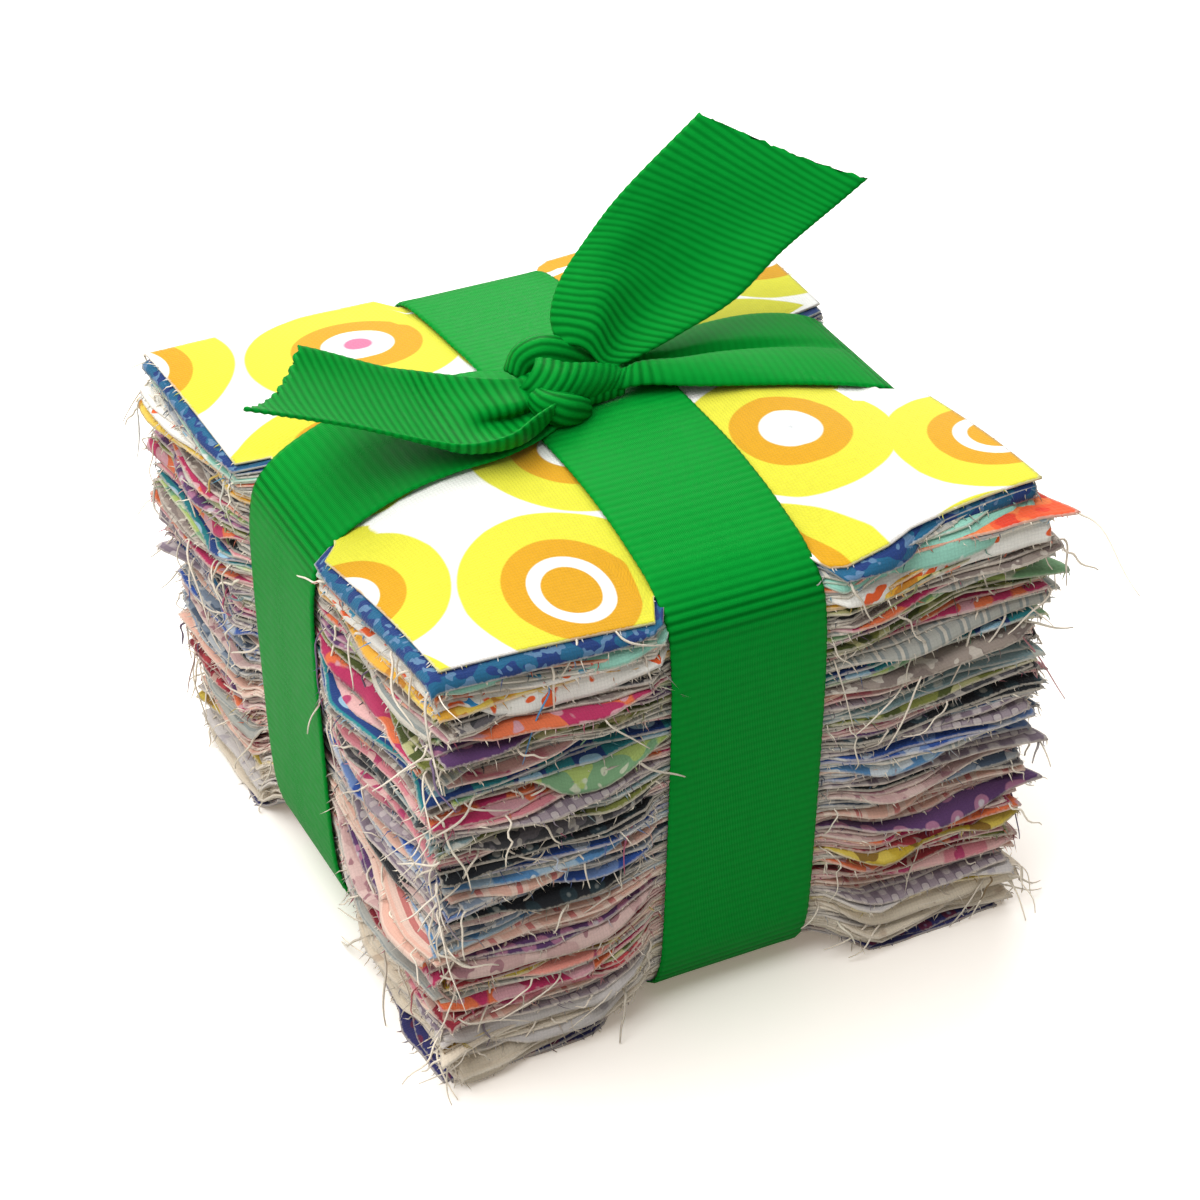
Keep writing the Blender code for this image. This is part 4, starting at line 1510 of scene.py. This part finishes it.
@dataclass(frozen=True)
class RibbonFinish:
    """Green polyester grosgrain: a satin sheen on fine threads that wrap round each woven rib, with painted
    shade in the hollows between the ribs and, faintly, in the grooves between the fine threads.
    """

    name: str = "green grosgrain"
    colour: tuple[float, float, float] = (0.002, 0.27, 0.028)
    # deep: painted shade for the hollows between the ribs
    deep: tuple[float, float, float] = (0.0, 0.12, 0.010)
    roughness: float = 0.39
    thread_pitch: float = 0.16

    def build(self) -> bpy.types.Material:
        """Builds the material.

        Returns:
            The finished material.
        """
        material, bench, shader = start_material(self.name)
        vector = bench.attribute("cut", "Vector")
        split = bench.add("ShaderNodeSeparateXYZ", {0: vector})
        phase = bench.maths("MULTIPLY", split.outputs[0], math.tau / RIB_PITCH)
        # Painted shade: the hollows between the ribs darken towards deep, more where the ribs stand out,
        # which is most at the ribbon's bends.
        hollow = bench.ramp(bench.maths("COSINE", phase), -0.6, 1.0)
        rib_hollow_shade = bench.maths("MULTIPLY", hollow, bench.attribute("relief", "Fac"))
        across = bench.maths("MULTIPLY", split.outputs[1], math.tau / self.thread_pitch)
        threads = bench.maths("SINE", across)
        mottle = bench.noise(vector, 0.9, 3.0)
        rib_shaded_colour = bench.mix(rib_hollow_shade, opaque(self.colour), opaque(self.deep))
        shade = bench.mix(mottle, grey(0.90), grey(1.08))
        # Painted shade, faint, in the grooves between the fine threads.
        fine = bench.mix(bench.ramp(threads, -1.0, 1.0), grey(0.90), grey(1.0))
        tinted = bench.mix(1.0, rib_shaded_colour, shade, "MULTIPLY")
        rough = bench.ramp(mottle, -1.2, 1.9)
        surface = {
            "Base Color": bench.mix(1.0, tinted, fine, "MULTIPLY"),
            "Normal": bench.bump(threads, 0.35, 0.02),
            "Roughness": bench.maths("MULTIPLY", rough, self.roughness * 2.0),
            "Specular IOR Level": 0.05,
            "Specular Tint": (0.22, 1.0, 0.36, 1.0),
        }
        bench.feed_all(shader, surface)
        return material


@dataclass
class Strip:
    """A length of ribbon, cut flat and then laid along rows of control points.

    A row runs across the ribbon along one rib. cut gives where the two ends of a slanted, pinked
    cut lie, as places among the rows at the first and at the last point of a row.
    """

    rows: np.ndarray
    columns: int = 12
    closed: bool = False
    cut: tuple[float, float] | None = None
    skew: float = 0.0
    rib_height: float = 0.08
    # How strongly the ribs stand out away from bends: both their height and the painted shade of their
    # hollows.
    relief: float = 0.22
    thickness: float = 0.34
    bead: float = 0.06
    tooth_pitch: float = 2.1
    tooth_depth: float = 0.5
    dense_steps: int = 24
    sink: float = 0.0
    selvedge: float = 0.035
    selvedge_lift: float = 0.04
    edge_lift: float = 0.10

    def laid_rows(self) -> tuple[np.ndarray, np.ndarray, np.ndarray]:
        """Reads the laid surface densely.

        Returns:
            The dense rows, each one's place along the ribbon in millimetres, and the place of
            each control row.
        """
        control = self.rows
        if self.closed:
            control = np.concatenate([control[-2:], control, control[:3]])
        dense = smooth_rows(control, self.dense_steps)
        if self.closed:
            dense = dense[2 * self.dense_steps : (len(self.rows) + 2) * self.dense_steps + 1]
        dense = smooth_rows(dense.swapaxes(0, 1), 6).swapaxes(0, 1)
        middle = dense[:, dense.shape[1] // 2]
        steps = np.linalg.norm(np.diff(middle, axis=0), axis=1)
        place = np.concatenate([[0.0], np.cumsum(steps)])
        return dense, place, place[:: self.dense_steps]

    def flat_cut(self, length: float, marks: np.ndarray) -> bmesh.types.BMesh:
        """Cuts the ribbon flat: ribs along Y, one grid line to each quarter of a rib.

        Args:
            length: The length to cut, in millimetres.
            marks: Each control row's place along the ribbon.

        Returns:
            The flat mesh, two-faced, its upper face at height 1.
        """
        ribs = max(1, round(length / RIB_PITCH))
        body = bmesh.new()
        bmesh.ops.create_grid(body, x_segments=ribs * 4, y_segments=self.columns, size=0.5)
        for corner in body.verts:
            corner.co.x = (corner.co.x + 0.5) * length
            column = round((corner.co.y + 0.5) * self.columns)
            if column in (0, self.columns):
                corner.co.y = column / self.columns
            else:
                inner = (column - 1) / (self.columns - 2)
                corner.co.y = self.selvedge + (1 - 2 * self.selvedge) * inner
        if self.cut is not None:
            self.pink(body, marks)
        make_two_faced(body)
        return body

    def pink(self, body: bmesh.types.BMesh, marks: np.ndarray) -> None:
        """Cuts the free end on the slant and gives the cut its small teeth.

        Args:
            body: The flat, one-faced ribbon.
            marks: Each control row's place along the ribbon.
        """
        rows = np.arange(len(marks))
        ends = [float(np.interp(row, rows, marks)) for row in self.cut]
        slope = ends[1] - ends[0]
        normal = Vector((1.0, -slope, 0.0)).normalized()
        parts = body.verts[:] + body.edges[:] + body.faces[:]
        result = bmesh.ops.bisect_plane(
            body, geom=parts, plane_co=(ends[0], 0.0, 0.0), plane_no=normal, dist=1e-5, clear_outer=True
        )
        for corner in (item for item in result["geom_cut"] if isinstance(item, bmesh.types.BMVert)):
            run = corner.co.y * math.hypot(RIBBON_WIDTH, slope) / self.tooth_pitch
            corner.co.x += self.tooth_depth * (abs(2.0 * (run % 1.0) - 1.0) - 0.7)

    def relief_at(self, dense: np.ndarray, place: np.ndarray, along: np.ndarray) -> np.ndarray:
        """Works out how strongly the ribs stand out, in height and in the painted shade of their hollows:
        most where the ribbon bends.

        Args:
            dense: The dense rows.
            place: Their places along the ribbon.
            along: Wanted places along the ribbon.

        Returns:
            The ribs' strength, up to 1.
        """
        run = np.gradient(dense[:, dense.shape[1] // 2], axis=0)
        run /= np.maximum(np.linalg.norm(run, axis=1, keepdims=True), 1e-9)
        turn = np.linalg.norm(np.gradient(run, axis=0), axis=1) / np.maximum(np.gradient(place), 1e-6)
        window = np.ones(self.dense_steps) / self.dense_steps
        bent = smooth_step(0.05, 0.20, np.convolve(turn, window, mode="same"))
        return np.interp(along, place, self.relief + (1.0 - self.relief) * bent)

    def mesh_into(self, whole: bmesh.types.BMesh, layers: tuple) -> float:
        """Lays the flat ribbon along its rows and adds it to the whole ribbon.

        Args:
            whole: The mesh that all strips are joined in, in millimetres.
            layers: Its layers for flat places and for the ribs' strength, which also sets the painted shade
                of their hollows.

        Returns:
            The length of the strip.
        """
        dense, place, marks = self.laid_rows()
        body = self.flat_cut(place[-1], marks)
        flat = np.array([corner.co for corner in body.verts])
        pitch = place[-1] / max(1, round(place[-1] / RIB_PITCH))
        along, share, face = flat[:, 0], flat[:, 1], flat[:, 2] * 2.0 - 1.0
        spots = self.read(dense, place, along, share)
        step, share_step = 0.05, 0.01
        ahead, behind = (self.read(dense, place, along + side * step, share) for side in (1, -1))
        beyond, before = (self.read(dense, place, along, share + side * share_step) for side in (1, -1))
        ahead, beside = ahead - behind, beyond - before
        normal = np.cross(ahead, beside)
        normal /= np.maximum(np.linalg.norm(normal, axis=1, keepdims=True), 1e-9)
        beside /= np.maximum(np.linalg.norm(beside, axis=1, keepdims=True), 1e-9)
        relief = self.relief_at(dense, place, along)
        ribs = along + self.skew * (share - 0.5)
        crest = 0.5 - 0.5 * np.cos(math.tau * ribs / pitch)
        from_edge = np.minimum(share, 1.0 - share)
        at_edge = from_edge < 0.01
        on_selvedge = (from_edge > self.selvedge - 0.015) & (from_edge < self.selvedge + 0.015)
        lift = np.where(at_edge, self.edge_lift, self.thickness / 2 + self.rib_height * relief * crest)
        lift = lift + np.where(on_selvedge, self.selvedge_lift * crest, 0.0)
        outward = np.where(share < 0.5, -1.0, 1.0) * np.where(at_edge, self.bead * crest, 0.0)
        spots = spots + normal * (face * lift - self.sink)[:, None] + beside * outward[:, None]
        corners = [whole.verts.new(spot) for spot in spots]
        for corner, rib, part, strength in zip(corners, ribs * RIB_PITCH / pitch, share, relief):
            corner[layers[0]] = Vector((rib, part * RIBBON_WIDTH, 0.0))
            corner[layers[1]] = strength
        body.verts.index_update()
        for side in body.faces:
            whole.faces.new([corners[corner.index] for corner in side.verts])
        body.free()
        return float(place[-1])

    def read(self, dense: np.ndarray, place: np.ndarray, along: np.ndarray, share: np.ndarray) -> np.ndarray:
        """Reads the laid surface.

        Args:
            dense: The dense rows.
            place: Their places along the ribbon.
            along: Wanted places along the ribbon.
            share: Wanted shares of its width.

        Returns:
            The places in space.
        """
        if self.closed:
            along = np.mod(along, place[-1])
        row = np.interp(along, place, np.arange(len(place)))
        low = np.clip(np.floor(row).astype(int), 0, len(place) - 2)
        part = (row - low)[:, None]
        column = np.clip(share, 0.0, 1.0) * (dense.shape[1] - 1)
        left = np.clip(np.floor(column).astype(int), 0, dense.shape[1] - 2)
        side = (column - left)[:, None]
        near = dense[low, left] * (1 - part) + dense[low + 1, left] * part
        far = dense[low, left + 1] * (1 - part) + dense[low + 1, left + 1] * part
        return near * (1 - side) + far * side


@dataclass(frozen=True)
class Turn:
    """A gathered turn of the knot, as an open tube of ribbon along a line.

    path holds points of its middle line, across and up its radii along the way, and start and end
    the angles in degrees between which the ribbon lies round the line.
    """

    path: tuple[tuple[float, float, float], ...]
    across: tuple[float, ...]
    up: tuple[float, ...]
    start: float
    end: float
    skew: float = 0.0
    ribs_along: bool = False
    pleat: float = 0.05
    pleats: int = 3
    points: int = 9

    def rows(self) -> np.ndarray:
        """Works out the turn's control rows.

        Returns:
            The rows, which run round the line, or along it where the ribs do.
        """
        line = np.array(self.path)
        run = np.gradient(line, axis=0)
        run /= np.linalg.norm(run, axis=1, keepdims=True)
        side = np.cross(run, np.array([0.0, 0.0, 1.0]))
        side /= np.linalg.norm(side, axis=1, keepdims=True)
        over = np.cross(side, run)
        angle = np.radians(np.linspace(self.start, self.end, self.points))
        swell = 1.0 + self.pleat * np.cos(self.pleats * angle)
        across = np.array(self.across)[:, None] * np.cos(angle) * swell
        up = np.array(self.up)[:, None] * np.sin(angle) * swell
        rows = line[:, None] + side[:, None] * across[..., None] + over[:, None] * up[..., None]
        return rows.swapaxes(0, 1) if self.ribs_along else rows


# The free ends. A row runs along one rib, from the far edge to the near one.
LEFT_END = (
    (
        (-3.4, 1.6, 53.2), (-3.4, 0.8, 52.8), (-3.4, 0.0, 52.6),
        (-3.4, -0.8, 52.5), (-3.3, -1.6, 52.7), (-3.2, -2.2, 53.3),
    ),
    (
        (-8.6, 1.6, 54.3), (-8.5, 0.2, 53.6), (-8.6, -2.0, 53.1),
        (-8.3, -1.5, 51.8), (-7.9, -4.9, 51.8), (-8.5, -6.0, 54.4),
    ),
    (
        (-12.2, 3.4, 54.6), (-12.0, 1.4, 53.7), (-11.8, -1.4, 53.0),
        (-11.7, -1.9, 51.9), (-11.7, -6.6, 52.0), (-12.0, -7.7, 54.1),
    ),
    (
        (-16.0, 5.2, 55.2), (-15.9, 2.8, 53.9), (-15.8, -0.4, 53.0),
        (-15.9, -4.0, 52.5), (-16.1, -6.6, 52.7), (-16.3, -7.4, 54.0),
    ),
    (
        (-19.5, 6.1, 56.2), (-19.4, 3.4, 55.0), (-19.5, 0.2, 54.2),
        (-19.6, -2.8, 53.8), (-19.8, -5.0, 53.9), (-20.2, -6.3, 54.9),
    ),
    (
        (-26.8, 7.4, 59.5), (-26.6, 5.0, 58.0), (-26.6, 2.2, 57.0),
        (-26.7, -0.6, 56.6), (-26.9, -2.9, 56.8), (-27.2, -4.6, 57.5),
    ),
    (
        (-36.6, 9.6, 62.6), (-36.4, 7.2, 61.4), (-36.3, 4.4, 60.6),
        (-36.4, 1.4, 60.3), (-36.5, -1.4, 60.5), (-36.7, -4.0, 61.3),
    ),
)
RIGHT_END = (
    ((-1.6, 3.6, 55.0), (-0.6, 2.9, 55.4), (0.6, 2.2, 54.9), (1.6, 1.2, 53.6), (2.6, 0.6, 53.2)),
    ((-1.4, 6.0, 57.0), (0.2, 4.4, 57.2), (1.9, 2.8, 56.8), (3.0, 1.6, 54.5), (5.6, 0.4, 54.0)),
    ((0.6, 8.2, 59.4), (2.4, 6.4, 59.5), (4.7, 5.4, 59.0), (7.0, 3.9, 55.9), (10.6, 1.3, 54.9)),
    ((4.2, 10.0, 62.2), (7.0, 8.8, 61.9), (10.2, 7.9, 60.0), (13.6, 6.0, 57.5), (17.4, 3.0, 56.2)),
    ((9.6, 12.4, 65.4), (12.6, 11.2, 64.2), (16.2, 9.8, 62.4), (19.8, 7.6, 60.6), (23.4, 4.5, 59.4)),
    ((19.7, 16.0, 70.0), (22.4, 13.4, 67.8), (25.0, 10.8, 65.9), (27.7, 8.3, 64.1), (30.4, 5.8, 62.5)),
    ((23.1, 17.2, 71.6), (25.8, 14.4, 69.5), (28.5, 11.7, 67.5), (31.2, 9.0, 65.6), (34.0, 6.5, 64.1)),
)
KNOT_TURNS = (
    Turn(
        ((1.6, 4.0, 52.4), (-1.2, 4.0, 54.0), (-3.4, 4.3, 54.6), (-4.9, 4.7, 53.9), (-6.0, 4.3, 52.6)),
        (1.3, 1.7, 1.8, 1.6, 1.2), (1.2, 1.5, 1.6, 1.4, 1.0), -60.0, 250.0, 1.0, ribs_along=True,
    ),
    Turn(
        ((-1.9, -1.9, 51.3), (-3.5, -2.8, 52.0), (-5.0, -3.1, 52.6), (-6.0, -2.5, 53.1), (-6.4, -1.2, 53.1)),
        (1.1, 1.5, 1.6, 1.4, 1.0), (1.0, 1.4, 1.5, 1.2, 0.9), -60.0, 250.0, 2.0, ribs_along=True,
    ),
    Turn(
        ((3.0, 1.2, 51.6), (0.0, 1.2, 51.9), (-3.0, 1.2, 52.1), (-6.0, 1.4, 52.0), (-8.0, 1.4, 51.8)),
        (2.6, 3.2, 3.4, 2.6, 1.4), (1.2, 1.7, 1.8, 1.4, 0.7), -20.0, 200.0,
    ),
)


@dataclass
class Ribbon:
    """The one length of ribbon: two bands, the knot and the two free ends."""

    shift: np.ndarray
    outer_to_middle: float = 0.27
    cut_length: float = 650.0
    knot_reach: float = 8.0
    knot_slant: float = 2.5
    gather_slant: float = 0.9

    def band_a(self) -> Strip:
        """Lays out the band that crosses the front and the back face.

        Returns:
            The closed strip.
        """
        near, far = BAND_A_CENTRE - HALF_RIBBON, BAND_A_CENTRE + HALF_RIBBON
        across = (near, BAND_A_CENTRE, far)
        rows = [[(x, along, height) for x in across] for along, height in band_a_outline()]
        return Strip(np.array(rows), columns=8, closed=True, sink=-self.outer_to_middle)

    def band_b(self) -> Strip:
        """Lays out the other band, whose right-hand part is gathered and wraps the knot.

        Returns:
            The strip.
        """
        rows = []
        for x, y, z, across, up, slant in KNOT_WRAP:
            row = []
            for (share, _), angle in zip(GATHER_PROFILE, np.radians(WRAP_ANGLES)):
                place = x + slant * (share - 0.5)
                row.append((place, y + across * math.cos(angle), z + up * math.sin(angle)))
            rows.append(row)
        for along, height, near, far, dip in band_b_rows():
            slant = dip * (self.knot_slant if along < self.knot_reach else self.gather_slant)
            row = []
            for share, rise in GATHER_PROFILE:
                place = along + slant * (share - 0.5)
                row.append((place, near + (far - near) * share, height + dip * rise))
            rows.append(row)
        return Strip(np.array(rows), columns=24, sink=self.outer_to_middle)

    def build(self, finish: RibbonFinish) -> bpy.types.Object:
        """Builds the ribbon.

        Args:
            finish: The ribbon's finish.

        Returns:
            The ribbon's object.
        """
        strips = [self.band_a(), self.band_b()]
        for rows in (LEFT_END, RIGHT_END):
            strips.append(Strip(np.array(rows), columns=18, cut=(5.0, 6.0), relief=0.62))
        for turn in KNOT_TURNS:
            strips.append(Strip(turn.rows(), columns=16, skew=turn.skew, thickness=0.3, relief=1.0))
        whole = bmesh.new()
        # The second layer carries the ribs' strength, which the finish also turns into painted shade in
        # their hollows.
        layers = (whole.verts.layers.float_vector.new("cut"), whole.verts.layers.float.new("relief"))
        for number, strip in enumerate(strips):
            LOG.info("ribbon stretch %d is %.1f mm long", number + 1, strip.mesh_into(whole, layers))
        bmesh.ops.recalc_face_normals(whole, faces=whole.faces[:])
        offset = Vector(self.shift.tolist())
        bmesh.ops.translate(whole, vec=offset, verts=whole.verts[:])
        bmesh.ops.scale(whole, vec=(MM, MM, MM), verts=whole.verts[:])
        mesh = bpy.data.meshes.new("grosgrain_ribbon")
        whole.to_mesh(mesh)
        whole.free()
        piece = add_piece("grosgrain_ribbon", mesh, finish.build())
        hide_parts("ribbon")
        return piece


@dataclass
class Studio:
    """The pale floor, the soft light and the camera at the photo's angle."""

    shift: np.ndarray
    aim: tuple[float, float, float] = (2.93, 3.58, 24.26)
    azimuth_deg: float = -26.591
    elevation_deg: float = 34.14
    roll_deg: float = 0.358
    distance: float = 328.0
    lens: float = 96.1
    sensor: float = 36.0
    floor_half: float = 4.0
    floor_bounce: tuple[float, float, float] = (0.62, 0.60, 0.56)
    floor_seen: tuple[float, float, float] = (0.97, 0.955, 0.93)
    # A painted glow that only the camera sees, which lifts the shadows on the floor.
    floor_painted_glow: tuple[float, float, float] = (0.20, 0.16, 0.12)
    sky: tuple[float, float, float] = (1.0, 0.99, 0.975)
    sky_strength: float = 0.34

    def build_camera(self) -> None:
        """Sets up the camera."""
        a, e = math.radians(self.azimuth_deg), math.radians(self.elevation_deg)
        back = Vector((math.sin(a) * math.cos(e), -math.cos(a) * math.cos(e), math.sin(e)))
        aim = Vector(points_to_frame(np.array(self.aim), self.shift))
        data = bpy.data.cameras.new("camera")
        data.lens = self.lens
        data.sensor_width = self.sensor
        data.clip_start, data.clip_end = 0.01, 20.0
        camera = bpy.data.objects.new("camera", data)
        bpy.context.scene.collection.objects.link(camera)
        turn = (-back).to_track_quat("-Z", "Y").to_matrix().to_4x4()
        roll = Matrix.Rotation(math.radians(self.roll_deg), 4, "Z")
        camera.matrix_world = Matrix.Translation(aim + back * self.distance * MM) @ turn @ roll
        bpy.context.scene.camera = camera

    def build_floor(self) -> None:
        """Lays the plain pale floor. The camera sees it brighter than the light it bounces, and it has a
        painted glow, seen only by the camera, that lifts the shadows on it.
        """
        body = bmesh.new()
        bmesh.ops.create_grid(body, x_segments=1, y_segments=1, size=self.floor_half)
        mesh = bpy.data.meshes.new("floor")
        body.to_mesh(mesh)
        body.free()
        material, bench, shader = start_material("pale floor")
        seen = bench.add("ShaderNodeLightPath").outputs["Is Camera Ray"]
        surface = {
            "Base Color": bench.mix(seen, opaque(self.floor_bounce), opaque(self.floor_seen)),
            "Emission Color": bench.mix(seen, grey(0.0), opaque(self.floor_painted_glow)),
            "Emission Strength": 1.0,
            "Roughness": 0.7,
        }
        bench.feed_all(shader, surface)
        mesh.materials.append(material)
        floor = bpy.data.objects.new("floor", mesh)
        bpy.context.scene.collection.objects.link(floor)

    def build_lights(self) -> None:
        """Hangs a large soft lamp above and behind on the left, under a bright even sky."""
        world = bpy.data.worlds.new("studio")
        bpy.context.scene.world = world
        world.use_nodes = True
        background = world.node_tree.nodes["Background"]
        background.inputs["Color"].default_value = opaque(self.sky)
        background.inputs["Strength"].default_value = self.sky_strength
        for name, place, size, power in (
            ("key", (-0.27, 0.0, 0.61), 0.70, 6.2),
            ("back", (0.20, 0.50, 0.44), 0.50, 3.3),
        ):
            data = bpy.data.lights.new(name, "AREA")
            data.size = size
            data.energy = power
            lamp = bpy.data.objects.new(name, data)
            lamp.location = place
            aim = Vector((0.0, 0.0, 0.03)) - Vector(place)
            lamp.rotation_euler = aim.to_track_quat("-Z", "Y").to_euler()
            bpy.context.scene.collection.objects.link(lamp)
        view = bpy.context.scene.view_settings
        view.view_transform = "Standard"
        view.look = "None"


def main() -> None:
    """Builds the squares, their frayed edges, the ribbon and the studio."""
    logging.basicConfig(level=logging.INFO, format="%(name)s: %(message)s")
    shift = measured_shift()
    effects = SharedEffects()
    studio = Studio(shift)
    studio.build_camera()
    studio.build_floor()
    studio.build_lights()
    stack = ClothStack(shift)
    used = sorted(set(stack.prints))
    finishes = {name: PRINTS[name].build(effects) for name in used}
    squares = stack.build(finishes)
    LOG.info("%d squares in %d prints", len(squares), len(finishes))
    thread = ThreadFinish().build()
    edges = RawEdges(stack)
    threads = [edges.build_ends(side, thread) for side in Side]
    threads.append(edges.build_strays(thread))
    for piece in threads:
        LOG.info("%s has %d faces", piece.name, len(piece.data.polygons))
    ribbon = Ribbon(shift).build(RibbonFinish())
    LOG.info("%s has %d faces", ribbon.name, len(ribbon.data.polygons))
    total = 0
    for piece in squares + threads + [ribbon]:
        piece.data.calc_loop_triangles()
        total += len(piece.data.loop_triangles)
    LOG.info("%d triangles in all", total)


if __name__ == "__main__":
    main()
